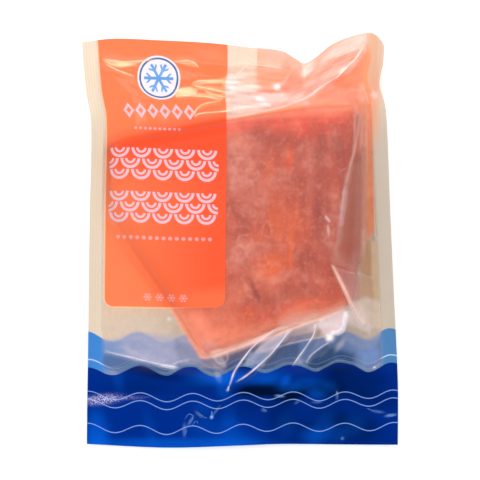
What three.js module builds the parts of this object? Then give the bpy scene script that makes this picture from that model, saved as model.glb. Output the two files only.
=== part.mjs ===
// A clear sealed pouch with one thick salmon portion in it, lying on its back.
// Units are millimetres, with +X to the right, +Y towards the pouch's top edge and +Z up from
// the surface that it lies on. The origin is at the middle of the underside.
import * as THREE from "three";

// The pouch as it was cut, before the portion filled it out
const POUCH_WIDTH = 150;
const POUCH_LENGTH = 200;
const FLANGE_THICK = 0.8;

// How far in from each cut edge the two films stay together
const CLOSED_SIDE = 6.5;
const CLOSED_TOP = 10;
const CLOSED_BOTTOM = 22;

// The portion, which is thick along its right side and thins towards its left
const PORTION_THICK = 25.5;
const THINS_FROM_X = 15;
const THINS_BY_MM = 0.1;
const SHOULDER_WIDTH = 9;
const SHOULDER_DROP = 0.3;

// How the films run from the portion to where they meet
const FRONT_HOLLOW = 1.35;
const BACK_HOLLOW = 1.7;
const NEAREST = 1e-6;

// Cells across and along the pouch
const CELLS_ACROSS = 40;
const CELLS_ALONG = 54;
const OUTLINE_STEPS = 120;

// Each edge is a list of stations: share of the flat edge, then x, y and height of the seam
const TOP_EDGE = [
  [0.0, -76.0, 95.7, 4],
  [0.1, -61.1, 97.4, 3],
  [0.25, -38.0, 96.6, 3],
  [0.4, -14.4, 95.2, 5],
  [0.52, 3.4, 93.0, 8],
  [0.64, 19.7, 91.1, 9],
  [0.7, 26.0, 88.0, 5],
  [0.75, 30.8, 85.6, 2],
  [0.8, 36.1, 88.0, 5],
  [0.86, 44.2, 94.2, 10],
  [0.93, 55.8, 98.6, 12],
  [0.97, 63.0, 99.5, 11.5],
  [1.0, 69.2, 96.6, 10],
];
const BOTTOM_EDGE = [
  [0.0, -73.8, -97.8, 2],
  [0.25, -35.6, -99.5, 3],
  [0.5, 1.4, -98.3, 5],
  [0.62, 19.2, -97.6, 4],
  [0.8, 46.6, -98.1, 2],
  [1.0, 76.0, -98.8, 3],
];
const LEFT_EDGE = [
  [0.0, -73.8, -97.8, 2],
  [0.12, -73.6, -74.5, 2.5],
  [0.35, -73.1, -30.3, 5],
  [0.6, -72.3, 18.3, 7],
  [0.8, -71.4, 57.2, 7],
  [0.88, -73.6, 70.2, 6],
  [0.94, -75.0, 83.2, 5],
  [1.0, -76.0, 95.7, 4],
];
const RIGHT_EDGE = [
  [0.0, 76.0, -98.8, 3],
  [0.15, 76.0, -69.2, 3.5],
  [0.35, 74.5, -30.8, 6],
  [0.6, 72.4, 18.3, 8],
  [0.8, 70.7, 57.2, 9],
  [0.85, 69.2, 66.8, 9.5],
  [0.893, 66.8, 75.5, 10],
  [0.935, 68.5, 85.1, 11],
  [1.0, 69.2, 96.6, 10],
];

// The portion's outline from above, clockwise from its top left corner
const PORTION_OUTLINE = [
  [-60.0, 47.6],
  [-36.1, 54.3],
  [-5.8, 60.1],
  [28.8, 64.9],
  [54.5, 66.6],
  [59.0, 62.0],
  [60.2, 19.7],
  [57.2, -23.6],
  [52.4, -31.2],
  [28.8, -40.4],
  [2.4, -50.0],
  [-15.9, -55.8],
  [-21.4, -51.0],
  [-35.6, -28.4],
  [-59.5, 9.1],
  [-62.5, 36.5],
];

// Folds that the portion pulls into the front film: its line, its height and its half width
const FRONT_FOLDS = [
  { line: [[64, 93], [56, 86], [49, 82], [38, 72], [20, 65], [-8, 61]], height: 3.2, reach: 4.2 },
  { line: [[38, -6], [47, -20], [55, -36], [62, -44]], height: 3.0, reach: 4.0 },
  { line: [[27, -37], [13, -49], [4, -60], [-4, -72]], height: 2.8, reach: 3.8 },
  { line: [[53, -33], [47, -44], [39, -51], [31, -60]], height: 2.4, reach: 3.8 },
  { line: [[-68, -52], [-50, -57.5], [-34, -60.5], [-18, -57]], height: 2.0, reach: 4.0 },
];
const FOLD_TAPER = 0.3;

// The point at a share of an edge, on a smooth curve through its stations
function alongEdge(stations, share) {
  const last = stations.length - 1;
  let i = 0;
  while (i < last - 1 && share > stations[i + 1][0]) i += 1;
  const span = stations[i + 1][0] - stations[i][0];
  const t = (share - stations[i][0]) / span;
  return [1, 2, 3].map((axis) => {
    const slope = (j) => {
      const before = stations[Math.max(j - 1, 0)];
      const after = stations[Math.min(j + 1, last)];
      return (after[axis] - before[axis]) / (after[0] - before[0]);
    };
    const [a, b] = [stations[i][axis], stations[i + 1][axis]];
    const [from, to] = [slope(i) * span, slope(i + 1) * span];
    const t2 = t * t;
    const t3 = t2 * t;
    return a * (2 * t3 - 3 * t2 + 1) + from * (t3 - 2 * t2 + t) + b * (3 * t2 - 2 * t3) + to * (t3 - t2);
  });
}

// A point of the sheet that the four edges span: place from above and height of the seam
function seamPoint(across, along) {
  const bottom = alongEdge(BOTTOM_EDGE, across);
  const top = alongEdge(TOP_EDGE, across);
  const left = alongEdge(LEFT_EDGE, along);
  const right = alongEdge(RIGHT_EDGE, along);
  return [0, 1, 2].map((axis) => {
    const ruled = (1 - along) * bottom[axis] + along * top[axis];
    const crossed = (1 - across) * left[axis] + across * right[axis];
    const low = (1 - across) * BOTTOM_EDGE[0][axis + 1] + across * RIGHT_EDGE[0][axis + 1];
    const high = (1 - across) * TOP_EDGE[0][axis + 1] + across * TOP_EDGE.at(-1)[axis + 1];
    return ruled + crossed - ((1 - along) * low + along * high);
  });
}

const outlineCurve = new THREE.CatmullRomCurve3(
  PORTION_OUTLINE.map(([x, y]) => new THREE.Vector3(x, y, 0)),
  true,
  "catmullrom",
  0.5,
);
const outline = outlineCurve.getPoints(OUTLINE_STEPS);

// How far a point is from a run of straight pieces, and at what share of their number
function nearestOnLine(x, y, points) {
  let nearest = { distance: Infinity, share: 0 };
  for (let i = 0; i + 1 < points.length; i += 1) {
    const [a, b] = [points[i], points[i + 1]];
    const [dx, dy] = [b.x - a.x, b.y - a.y];
    const along = ((x - a.x) * dx + (y - a.y) * dy) / (dx * dx + dy * dy || NEAREST);
    const t = THREE.MathUtils.clamp(along, 0, 1);
    const distance = Math.hypot(x - a.x - t * dx, y - a.y - t * dy);
    if (distance < nearest.distance) nearest = { distance, share: (i + t) / (points.length - 1) };
  }
  return nearest;
}

// True inside the portion's outline
function overPortion(x, y) {
  let inside = false;
  for (let i = 0; i + 1 < outline.length; i += 1) {
    const [a, b] = [outline[i], outline[i + 1]];
    const crosses = a.y > y !== b.y > y;
    if (crosses && x < a.x + ((y - a.y) / (b.y - a.y)) * (b.x - a.x)) inside = !inside;
  }
  return inside;
}

// Height of the portion's upper face before its shoulders round off
function portionTop(x) {
  return PORTION_THICK - THINS_BY_MM * Math.max(0, THINS_FROM_X - x);
}

// How far a point lies in from where the films come together, in flat millimetres
function insideSeal(across, along) {
  const sides = Math.min(across, 1 - across) * POUCH_WIDTH - CLOSED_SIDE;
  const top = (1 - along) * POUCH_LENGTH - CLOSED_TOP;
  const bottom = along * POUCH_LENGTH - CLOSED_BOTTOM;
  return Math.max(0, Math.min(sides, top, bottom));
}

const foldCurves = FRONT_FOLDS.map(({ line, height, reach }) => {
  const curve = new THREE.SplineCurve(line.map(([x, y]) => new THREE.Vector2(x, y)));
  return { points: curve.getPoints(line.length * 4), height, reach };
});

// What the folds add to the front film at a point, fading out towards each fold's ends
function foldHeight(x, y) {
  return foldCurves.reduce((sum, { points, height, reach }) => {
    const { distance, share } = nearestOnLine(x, y, points);
    const toEnd = Math.min(share, 1 - share) / FOLD_TAPER;
    const fade = THREE.MathUtils.smoothstep(toEnd, 0, 1);
    return sum + height * fade * Math.exp(-((distance / reach) ** 2));
  }, 0);
}

// Heights of the front and back films where the pouch's flat place is (across, along)
function filmHeights(across, along, x, y, seam) {
  const { distance } = nearestOnLine(x, y, outline);
  const top = portionTop(x);
  if (overPortion(x, y)) {
    const rounding = Math.max(0, 1 - distance / SHOULDER_WIDTH) ** 2;
    return { front: top * (1 - SHOULDER_DROP * rounding) + foldHeight(x, y), back: 0 };
  }
  const free = insideSeal(across, along);
  const share = distance / (distance + free + NEAREST);
  const shoulder = top * (1 - SHOULDER_DROP);
  const rise = (shoulder - seam) * (1 - share) ** FRONT_HOLLOW;
  const folds = foldHeight(x, y) * Math.min(1, free / CLOSED_SIDE);
  return {
    front: seam + FLANGE_THICK / 2 + rise + folds,
    back: (seam - FLANGE_THICK / 2) * share ** BACK_HOLLOW,
  };
}

// The grid of both films, as two lists of corners in the same order
function filmCorners() {
  const [front, back] = [[], []];
  for (let j = 0; j <= CELLS_ALONG; j += 1) {
    for (let i = 0; i <= CELLS_ACROSS; i += 1) {
      const [across, along] = [i / CELLS_ACROSS, j / CELLS_ALONG];
      const [x, y, seam] = seamPoint(across, along);
      const heights = filmHeights(across, along, x, y, seam);
      front.push([x, y, heights.front]);
      back.push([x, y, heights.back]);
    }
  }
  return { front, back };
}

// Two triangles for the cell a, b, c, d, split along the diagonal whose ends differ less
function splitCell(corners, [a, b, c, d]) {
  const bend = (p, q) => Math.abs(corners[p][2] - corners[q][2]);
  return bend(a, c) <= bend(b, d) ? [a, b, c, a, c, d] : [a, b, d, b, c, d];
}

function pouchGeometry() {
  const { front, back } = filmCorners();
  const corners = [...front, ...back];
  const under = front.length;
  const row = CELLS_ACROSS + 1;
  const index = [];
  for (let j = 0; j < CELLS_ALONG; j += 1) {
    for (let i = 0; i < CELLS_ACROSS; i += 1) {
      const a = j * row + i;
      const cell = [a, a + 1, a + row + 1, a + row];
      index.push(...splitCell(corners, cell));
      index.push(...splitCell(corners, cell.map((k) => k + under)).reverse());
    }
  }
  const rim = (p, q) => index.push(p, p + under, q, q, p + under, q + under);
  const lastRow = CELLS_ALONG * row;
  for (let i = 0; i < CELLS_ACROSS; i += 1) {
    rim(i, i + 1);
    rim(lastRow + i + 1, lastRow + i);
  }
  for (let j = 0; j < CELLS_ALONG; j += 1) {
    rim((j + 1) * row, j * row);
    rim(j * row + CELLS_ACROSS, (j + 1) * row + CELLS_ACROSS);
  }
  const geometry = new THREE.BufferGeometry();
  geometry.setAttribute("position", new THREE.Float32BufferAttribute(corners.flat(), 3));
  geometry.setIndex(index);
  geometry.computeVertexNormals();
  return geometry;
}

const filmMaterial = new THREE.MeshStandardMaterial({
  color: 0xe9805c,
  roughness: 0.25,
  metalness: 0,
});

const sealedPouch = new THREE.Mesh(pouchGeometry(), filmMaterial);
sealedPouch.name = "sealed_pouch";

const pack = new THREE.Group();
pack.add(sealedPouch);

export default pack;
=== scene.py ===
# A thick salmon portion sealed in a clear printed pouch, lying on its back on a pale table.
import math

import bpy
import numpy as np
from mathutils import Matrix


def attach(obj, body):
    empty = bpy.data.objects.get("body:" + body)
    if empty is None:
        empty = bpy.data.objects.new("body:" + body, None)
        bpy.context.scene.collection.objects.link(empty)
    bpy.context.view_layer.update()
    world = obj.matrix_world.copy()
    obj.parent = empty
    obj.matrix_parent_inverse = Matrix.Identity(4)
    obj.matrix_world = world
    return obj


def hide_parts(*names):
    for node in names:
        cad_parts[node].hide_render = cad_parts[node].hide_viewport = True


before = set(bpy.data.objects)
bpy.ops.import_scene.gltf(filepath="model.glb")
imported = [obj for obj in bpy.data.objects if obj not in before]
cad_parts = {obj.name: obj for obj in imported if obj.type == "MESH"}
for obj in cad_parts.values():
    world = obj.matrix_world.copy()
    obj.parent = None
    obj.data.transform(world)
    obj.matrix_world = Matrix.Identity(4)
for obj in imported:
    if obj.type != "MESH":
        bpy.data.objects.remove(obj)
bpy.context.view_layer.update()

# Lengths are in millimetres, and become metres where a mesh or a lamp is placed
MM = 0.001

# The pouch as it was cut, and how far in from each edge its two films stay together
POUCH_WIDTH = 150
POUCH_LENGTH = 200
CLOSED_SIDE = 6.5
CLOSED_TOP = 10
CLOSED_BOTTOM = 22
FILM_GAP = 0.2
CORNER_RADIUS = 4.5

# The portion, which is thick along its right side and thins towards its left
PORTION_THICK = 25.5
THINS_FROM_X = 15
THINS_BY_MM = 0.1
SHOULDER_WIDTH = 9
SHOULDER_DROP = 0.3
PORTION_MIDDLE = (0, 5)
UNDER_FILM = 0.3

# The narrow ridges along the film's sharpest bends, and the flicker of their width
PLEAT_STEP = 0.7
PLEAT_LEAST = 6
PLEAT_HALF = (0.2, 0.48)
PLEAT_HEIGHT = 0.3
PLEAT_FOOT = 0.05
PLEAT_TAPER = 0.22
PLEAT_ACROSS = (-1, -0.45, 0, 0.45, 1)
FLICKERS = 12

# How the films run from the portion to where they meet
FRONT_HOLLOW = 1.35
BACK_HOLLOW = 1.7
BACK_LEVEL = 0.05
NEAREST = 1e-6

# Cells across and along each film, and how often a place on the front film is corrected
FRONT_CELLS = (270, 366)
BACK_CELLS = (150, 200)
PLACING_ROUNDS = 12

# Lines on the film: steps to each of their points, tapers at the ends and widths
FOLD_STEPS = 4
FOLD_TAPER = 0.3
LINE_STEPS = 6
CREASE_TAPER = 0.12
CREST_POWER = 1.4
BEND_WIDTH = 0.55
SHADE_TAPER = 0.25
SHADE_WIDTH = 0.8

# Tension folds that run out from the portion, and the waves that both films share
TENSION_KNOTS = 90
TENSION_HEIGHT = 0.55
TENSION_ROOM = 12
BROAD_WAVE = 0.22

# Loose film: where it starts, from inside to outside the line where the film clings, how far
# in from a seal its folds reach their full height, and what is left of them elsewhere
LOOSE_FROM = (-2.5, 8.5)
DETAIL_ROOM = 3
SEAL_DETAIL = 0.35
TIGHT_CRUMPLE = 0.3

# The sheets of nearly parallel folds, and the crinkles in the lower seal
FOLD_STRANDS = 6
FOLD_SWERVE = 13
FOLD_PITCHES = (0.7, 2.4)
FOLD_ROUNDING = 0.03
TILT_STEP = 0.3
CRINKLE_STRANDS = 5
CRINKLE_PITCHES = (0.8, 1.6)
CRINKLE_HEIGHT = 0.35

# The shares of the ball that become the portion's upper face and walls, and the walls' lean
FACE_SHARE = 0.62
WALL_SHARE = 0.22
WALL_LEAN = 1.2
FOOT_ROUNDING = 2

# Dips between the flakes of the flesh, and lumps of frost on it
FLAKE_WIDTH = 8.5
FLAKE_GAP = 0.16
FLAKE_DIP = 0.3
FROST_HEIGHT = 0.16

# Each edge is a list of stations: share of the flat edge, then x, y and height of the seam
TOP_EDGE = [
    (0, -76, 95.7, 4),
    (0.1, -61.1, 97.4, 3),
    (0.25, -38, 96.6, 3),
    (0.4, -14.4, 95.2, 5),
    (0.52, 3.4, 93, 8),
    (0.64, 19.7, 91.1, 9),
    (0.7, 26, 88, 5),
    (0.75, 30.8, 85.6, 2),
    (0.8, 36.1, 88, 5),
    (0.86, 44.2, 94.2, 10),
    (0.93, 55.8, 98.6, 12),
    (0.97, 63, 99.5, 11.5),
    (1, 69.2, 96.6, 10),
]
BOTTOM_EDGE = [
    (0, -73.8, -97.8, 2),
    (0.25, -35.6, -99.5, 3),
    (0.5, 1.4, -98.3, 5),
    (0.62, 19.2, -97.7, 4),
    (0.8, 46.6, -98, 2),
    (1, 76, -98.1, 3),
]
LEFT_EDGE = [
    (0, -73.8, -97.8, 2),
    (0.12, -73.5, -74.5, 2.5),
    (0.35, -72.8, -30.3, 5),
    (0.6, -72, 18.3, 7),
    (0.8, -71.4, 57.2, 7),
    (0.88, -73.6, 70.2, 6),
    (0.94, -75, 83.2, 5),
    (1, -76, 95.7, 4),
]
RIGHT_EDGE = [
    (0, 76, -98.1, 3),
    (0.15, 76, -69.2, 3.5),
    (0.35, 74.2, -30.8, 6),
    (0.6, 71.9, 18.3, 8),
    (0.8, 70.4, 57.2, 9),
    (0.85, 69.2, 66.8, 9.5),
    (0.893, 66.8, 75.5, 10),
    (0.935, 68.5, 85.1, 11),
    (1, 69.2, 96.6, 10),
]

# The portion's outline from above, clockwise from its top left corner
PORTION_OUTLINE = [
    (-60, 47.6), (-36.1, 53.3), (-5.8, 58.9), (28.8, 64.6), (54.5, 65.4), (58.2, 61.5),
    (59.2, 19.7), (56.2, -20), (52.2, -31), (28.8, -40.4), (2.4, -50), (-15.9, -55.8),
    (-21.4, -51), (-35.6, -28.4), (-59.5, 9.1), (-62.5, 36.5),
]
OUTLINE_STEPS = 120

# The shapes on the pack are placed as they look from straight above at the eye's height, drawn
# at the true scale of the level at which the seams lie. The portion's edge is higher than that.
EYE_HEIGHT = 1287
SEAM_LEVEL = 5
VIEW_CENTRE = 0.48
EDGE_HEIGHT = 20

# The camera, whose picture is this wide on the level of the seams
VIEW_WIDTH = 230.77
LENS = 200
SENSOR = 36

# The portion's rim: the widths of its painted light edge, and of the fogged film with a painted
# glow outside and over it
RIM_WIDTH = 2.2
PEACH_WIDTH = 6
BLUSH_WIDTH = 1.1
RIM_VEIL = (1.6, 1.1)
RIM_ROOM = 0.5
BUBBLE_RIM = 0.6

# How milky the loose film is low down and high up, and the film on the portion and at its rim
HAZE_LOW = 0.7
HAZE_HIGH = 0.34
HAZE_ON_PORTION = 0.04
RIM_HAZE = 0.92

# How folds and bends show as painted light in the film's haze and glare
TILT_SHARE = 2.4
STREAK_LIMITS = (0.4, 1.6)
STREAKS_LOST = 0.8
BEND_GLARE = 0.3
MATT_WIDTH = 2.2
FLANK_CALM = 0.6

# From where to where across or up the pack the looks of the films change
UPPER_FILM = (-35, 60)
LIGHT_ABOVE = -60
WELD_SOFTENS = (-40, -48)
RUDDY_LEFT = (-10, -24)
BACK_RUDDY = (68, 65)
BEHIND_SEAL = (1, 5)
BENDS_ABOVE = (-72, -68)
TONE_DOWN = (50, 20)
TONE_FOOT = (-18, -28)
TONE_FROM_X = -68
TONE_SPAN = 54
TONE_FALL = 0.82
RIM_ENDS = (48, 54)

# The same for the flesh: its rim carries painted light left of the flank, redder at the top,
# paler low down
LIT_RIM = (56, 50)
RED_UPWARDS = (40, 55)
PEACH_DOWN = (-15, -40)

# Parts of the pack: the spans across it, then up it, over which each one fades in or out
OUT_OF_LIGHT = [(10, 60)], [(85, 40)]
FLANK = [(50, 55)], [(72, 66), (-30, -22)]
GLOWING_CORNER = [(55, 63)], [(60, 76)]
PEACH_SIDE = [(58, 61), (69, 64)], [(38, 62), (84, 72)]
PALE_LEFT = [(-66, -71)], [(44, 74)]

# The same for the colours of the painted highlights on the pleats
BENT_UPPER = [], [(45, 55)]
BENT_LABEL = [(-4, -8)], [(52, 58)]
BENT_FLANK = [(38, 44)], [(60, 52), (-34, -30)]
BENT_SIDE = [(52, 53.5)], [(-46, -42)]
BENT_SEA = [], [(-73, -74.5)]

# The print, in millimetres on the flat pouch from its lower left corner
PRINT_EDGE = 0.18
PAST_TOP = 230
SCALE_HEIGHT = 5.2
SCALE_GAP = 0.45
SCALE_LINE = 1.35
SCALE_DOT = 2.5
SCALE_DOT_LINE = 1.1
PANEL_CORNER = (83.2, 102, 5)
PANEL_WIDENS = (158, 172)
PANEL_RIGHT = (142.6, 145.6)
LABEL_LEFT = 7.1
LABEL_WIDENS = (158, 190)
LABEL_RIGHT = (65.5, 68.3)
LABEL_BOTTOM = 68.8
LABEL_TILT = 0.033
LABEL_CORNER = 5
LABEL_COVER = 0.94
STROKE = 0.6
BAND_SPAN = (9.3, 61.7)
BAND_BOTTOMS = (130.3, 109.5)
BAND_HEIGHT = 15.6
LOZENGE_SPAN = (16.2, 51)
LOZENGE_LEVEL = 165.2
LOZENGE_WIDE = 5.8
LOZENGE_HALF = 4.4
LOZENGE_SPREAD = 2.2
DOTTED_RULES = [((20.8, 44.1), 155.8, 0.75, 2.33), ((12.5, 59.5), 102.9, 0.95, 3.133)]
FAINT_INK = 0.55
FLAKE_PLACES = (28.3, 34, 39.7, 45.4)
FLAKE_LEVEL = 74.2
FLAKE_SIZE = 2.1
BADGE_PLACE = (35.8, 182.3)
BADGE_RADIUS = 10.2
BADGE_RING = 8.9
BADGE_LINE = 0.45
BADGE_FLAKE = 7.2

# The printed sea on both films, its wavy lines, and the ribs in the side seals
WAVE_LENGTH = 24.68
WAVE_SHIFT = 0.5
SEA_LEVEL = 37.7
SEA_SWING = 2.26
SEA_RISE = 0.006
SEA_TOP = 35
SEA_LINES = (24.4, 20.5, 8.3)
MIST_LINES = [
    (38.5, 0.6, 0.45, "#6C8CA0"),
    (39.2, 0.1, 0.45, "#B4C6D8"),
    (41.9, 0.1, 0.4, "#B4C6D8"),
]
MIST_SOFT = 1.2
BACK_SEA = (55.5, 2.6)
BACK_LINE = 41.6
BACK_DRIFT = 1.7
BACK_DRIFT_SPAN = 130
BACK_DIP = 1.7
RIB_PITCH = 1.4
# Where the orange print on the back film fades out at its top right corner
FADED_PRINT = [(65, 99, 9, 7, 0, 1.3)]

# Where the front film clings to the portion. Right of it the film stands off the rounded flank.
CLINGS_WITHIN = [
    (-58.5, 45.5), (-36, 52), (-5.8, 57.7), (28.8, 62.4), (52.5, 64), (56.5, 60),
    (53.8, 38.5), (48.1, 9.1), (46.6, -11), (51.5, -28.5), (28, -38), (2, -47.5),
    (-15.6, -53), (-19.8, -49.5), (-33.6, -27.4), (-57, 9.6), (-60, 36),
]

# Broad folds that the portion pulls into the front film, as in the solid
FRONT_FOLDS = [
    ([(64, 93), (56, 86), (49, 82), (38, 72), (20, 65), (-8, 61)], 3.2, 4.2),
    ([(38, -6), (47, -20), (55, -36), (62, -44)], 3, 4),
    ([(27, -37), (13, -49), (4, -60), (-4, -72)], 2.8, 3.8),
    ([(53, -33), (47, -44), (39, -51), (31, -60)], 2.4, 3.8),
    ([(-68, -52), (-50, -57.5), (-34, -60.5), (-18, -57)], 2, 4),
]

# Sharp creases: line, crest height, crest half width, strength of the painted highlight on the bend
SHARP_CREASES = [
    # From the raised corner down along the portion's top edge
    ([
        (60.6, 95.2), (59.1, 93), (57.2, 90.2), (55, 87), (52.6, 84.9), (50.4, 82.4), (48.1, 80.1),
        (45.8, 78.2), (42.9, 76.5),
    ], 1.1, 1.3, 0.95),
    ([
        (45.8, 78.2), (42.9, 76.5), (38.9, 73.9), (34.7, 70.7), (32.1, 69), (28.8, 67.4),
        (23.1, 65.2),
    ], 0.9, 1.2, 0.9),
    ([
        (28.8, 67.4), (23.1, 65.2), (17.8, 63.7), (12.7, 62.6), (7.5, 61.6), (0.7, 60.2),
        (-7.9, 58.8),
    ], 0.7, 1.2, 0.7),
    ([(60.1, 94.2), (55.3, 91.8), (49, 89.4), (42.8, 87.3)], 0.7, 1.2, 0.5),
    ([(56.7, 90.4), (50.5, 87), (43.8, 84.1)], 0.4, 1, 0.3),
    ([(53.8, 86.1), (49.5, 85.6), (43.3, 81.7)], 0.4, 1, 0.25),
    ([(51.4, 84.1), (49.7, 82), (47.1, 80)], 0.5, 1.2, 1),
    # The roof over the portion's top edge
    ([(-3.8, 76.9), (-1, 80.3), (3.4, 84.6), (5.8, 84.9), (14.4, 83.9), (25, 82)], 0.8, 1.2, 0.65),
    ([(25, 81.7), (21.6, 76.9), (17.8, 73.6)], 0.8, 1.2, 0.4),
    ([(26.9, 83.7), (31.2, 78.8), (36.1, 84.6)], 0.5, 1.1, 0.2),
    ([(-10.6, 62.2), (-4.3, 62.8), (0.7, 63.7), (6.9, 64.4), (10.6, 64.2)], 0.5, 1.1, 0.85),
    ([(-3.8, 64.5), (2.4, 64.9), (8.2, 65.1)], 0.4, 1, 0.5),
    ([(7.7, 69.2), (10.6, 67.3), (15.4, 64.4)], 0.7, 1.6, 0.3),
    ([(-4.8, 73.6), (2.9, 74.5), (10.6, 74)], 0.4, 1.1, 0.4),
    ([(-5.3, 70.7), (3.8, 69.7), (12.5, 71.2)], 0.4, 1.1, 0.3),
    # Down the right flank
    ([
        (57.4, 61.5), (57, 57.7), (56.2, 51.4), (55, 42.3), (53.2, 37.5), (52.2, 36.1),
    ], 0.22, 1.1, 0.22),
    ([(60.6, 62), (60.6, 43.8), (59.9, 14.9), (59.9, -10.1)], 0.12, 1.4, 0.18),
    ([(50, 25.5), (49, 14.9), (47.9, 9.1)], 0.3, 1.1, 0.4),
    ([(40.7, 12.5), (43.5, 8.9)], 0.3, 1.1, 0.5),
    ([(42.1, 7.7), (42.8, 2.4)], 0.2, 1, 0.4),
    ([(47.1, 32.7), (52.9, 36.1)], 0.2, 0.9, 0.35),
    # The flap at the lower right
    ([(43, -10.5), (48.4, -20.8), (53.6, -31.1), (56.7, -37.3), (60.8, -41.4)], 1, 1.2, 0.55),
    ([(43, -10.5), (51, -14.6), (58.7, -16.3), (64, -18.5)], 0.6, 1.2, 0.3),
    # The fan below the portion
    ([
        (20.2, -40.4), (13.5, -44.9), (6.7, -50.3), (1.3, -56.9), (-2.5, -62.5), (-4.3, -67.3),
        (-5.8, -71.6),
    ], 1, 1.2, 0.95),
    ([
        (25.5, -41.3), (20, -48.1), (14.4, -54.8), (7.9, -60.8), (2.4, -65.2), (-2.5, -68),
    ], 0.9, 1.1, 0.95),
    ([(36.5, -39.4), (35.4, -44.9), (32.1, -50.3), (28.2, -55.8), (25, -60.2)], 0.9, 1.1, 0.85),
    ([(51.3, -35), (49.7, -39.4), (48.6, -42.6), (43.6, -45)], 0.9, 1.4, 1),
    ([(43.3, -48.6), (39.8, -50.5), (34.3, -54.8), (31.5, -59.1)], 0.8, 1.3, 0.6),
    ([(9, -53.7), (24.4, -49.2), (37.5, -46.5), (43.3, -45.2)], 0.5, 1.1, 0.5),
    ([(-1.9, -51), (10.6, -46.6), (24, -41.3), (36.5, -38.5)], 0.4, 1.1, 0.35),
    ([
        (-9.1, -52.4), (-6, -54.8), (-6.7, -58.2), (-10.1, -58.9), (-12, -56.2), (-10.6, -52.9),
    ], 0.4, 1, 0.35),
    ([(-5.3, -69.7), (-5.9, -71.9)], 0.6, 1.2, 1),
    # Across the milky film at the lower left
    ([
        (-66.3, -52.5), (-59.6, -54.3), (-52.5, -55.9), (-45.2, -57.7), (-38.3, -59.3),
        (-30.6, -60.6),
    ], 0.7, 1.2, 0.75),
    ([(-38.5, -59.6), (-33.7, -60.3), (-30.3, -60.6)], 0.5, 1.3, 0.9),
    ([(-33.7, -60.1), (-29.5, -58), (-24, -57.4)], 0.5, 1.1, 0.45),
    # Across the label
    ([
        (-66.3, 87.4), (-61.5, 86.8), (-55.8, 86.2), (-51, 86.4), (-45.7, 86.7), (-38.5, 87.3),
    ], 0.4, 1, 0.8),
    ([(-65.4, 86.5), (-61.5, 84.8), (-56.7, 83.9), (-52.4, 84.8), (-48.1, 86)], 0.3, 1.2, 0.7),
    ([(-65, 85.4), (-61.1, 83.2), (-57.2, 81.5), (-50.1, 78.9)], 0.4, 1, 0.85),
    ([(-32.7, 86.1), (-25.5, 86.7), (-22.1, 85.7), (-19.5, 83.2)], 0.4, 1, 0.8),
    ([(-23.2, 75.4), (-20.7, 76.7), (-17.2, 77.1), (-5.8, 76.6)], 0.4, 1, 0.8),
    ([(-22.6, 74.7), (-15, 73.3), (-6.2, 71.2)], 0.4, 1, 0.8),
    ([(-17.2, 72.5), (-11.7, 70.2), (-5.8, 68.9)], 0.4, 1, 0.6),
    ([(-31.4, 70.2), (-22.6, 69.7), (-15, 69.2), (-8.9, 67.4)], 0.4, 1, 0.9),
    ([(-8.9, 67.3), (-17.2, 65.9), (-21, 63.1), (-22.1, 59.8)], 0.4, 1, 0.8),
    ([(-22.1, 59.4), (-19.4, 61.2), (-11.7, 62), (-3.4, 62.5)], 0.4, 1, 0.8),
    # Small scratches and glints over the dark sea
    ([(-26.9, -86.1), (-24.5, -83.2), (-22.6, -84.6), (-25, -88)], 0.2, 0.9, 0.6),
    ([(-24, -89.9), (-21.2, -86.5), (-20.2, -88)], 0.2, 0.9, 0.6),
    ([(-26.9, -93.8), (-25.5, -90.9)], 0.2, 0.9, 0.55),
    ([(-20.7, -82.2), (-17.3, -84.6), (-15.4, -85.1)], 0.2, 0.9, 0.6),
    ([(-13.5, -81.7), (-13.6, -83.9)], 0.2, 1.1, 0.8),
    ([(17.3, -74), (21.2, -75)], 0.2, 0.9, 0.55),
    ([(10.6, -80.3), (13, -81.7)], 0.2, 0.9, 0.6),
    ([(27.4, -76), (29.8, -77.4)], 0.2, 0.9, 0.55),
    ([(60.6, -80.3), (64.4, -81.7), (69.2, -82.7)], 0.2, 0.9, 0.6),
    ([(71.2, -82.9), (73.1, -84.1), (75.2, -83.2)], 0.2, 0.9, 0.7),
    ([(46.6, -72.1), (46.9, -76)], 0.2, 0.9, 0.5),
    ([(63.9, -61.1), (65.4, -60.3)], 0.2, 1.2, 0.9),
]

# Thin shaded lines beside the creases: line and depth
SHADED_LINES = [
    ([(-49.5, -59.1), (-43.3, -61.1), (-33.7, -62.5)], 0.8),
    ([(-65.9, -53.8), (-57.7, -55.8), (-49.5, -57.7)], 0.3),
    ([(58.7, 91.8), (52.9, 90.4), (44.2, 86.5)], 0.35),
    ([(19.2, 83.2), (25, 82.9)], 0.6),
    ([(54.8, 84.1), (50.5, 80.8), (43.3, 75.5), (34.6, 69.7)], 0.3),
    ([(22.1, -40.9), (15.4, -45.7), (8.7, -51), (2.9, -57.7)], 0.5),
    ([(27.4, -42.8), (21.6, -50), (16.3, -56.2), (9.6, -62)], 0.45),
    ([(38, -40.9), (37, -46.2), (33.7, -51.9), (29.8, -57.2)], 0.4),
    ([(51.9, -37), (50.5, -43.8), (45.2, -50)], 0.4),
    ([(44.2, -12), (49, -23.6), (52.9, -32.2)], 0.35),
    ([(-15.9, -54.3), (-8.7, -61.1), (-1.9, -59.1)], 0.5),
]
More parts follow.
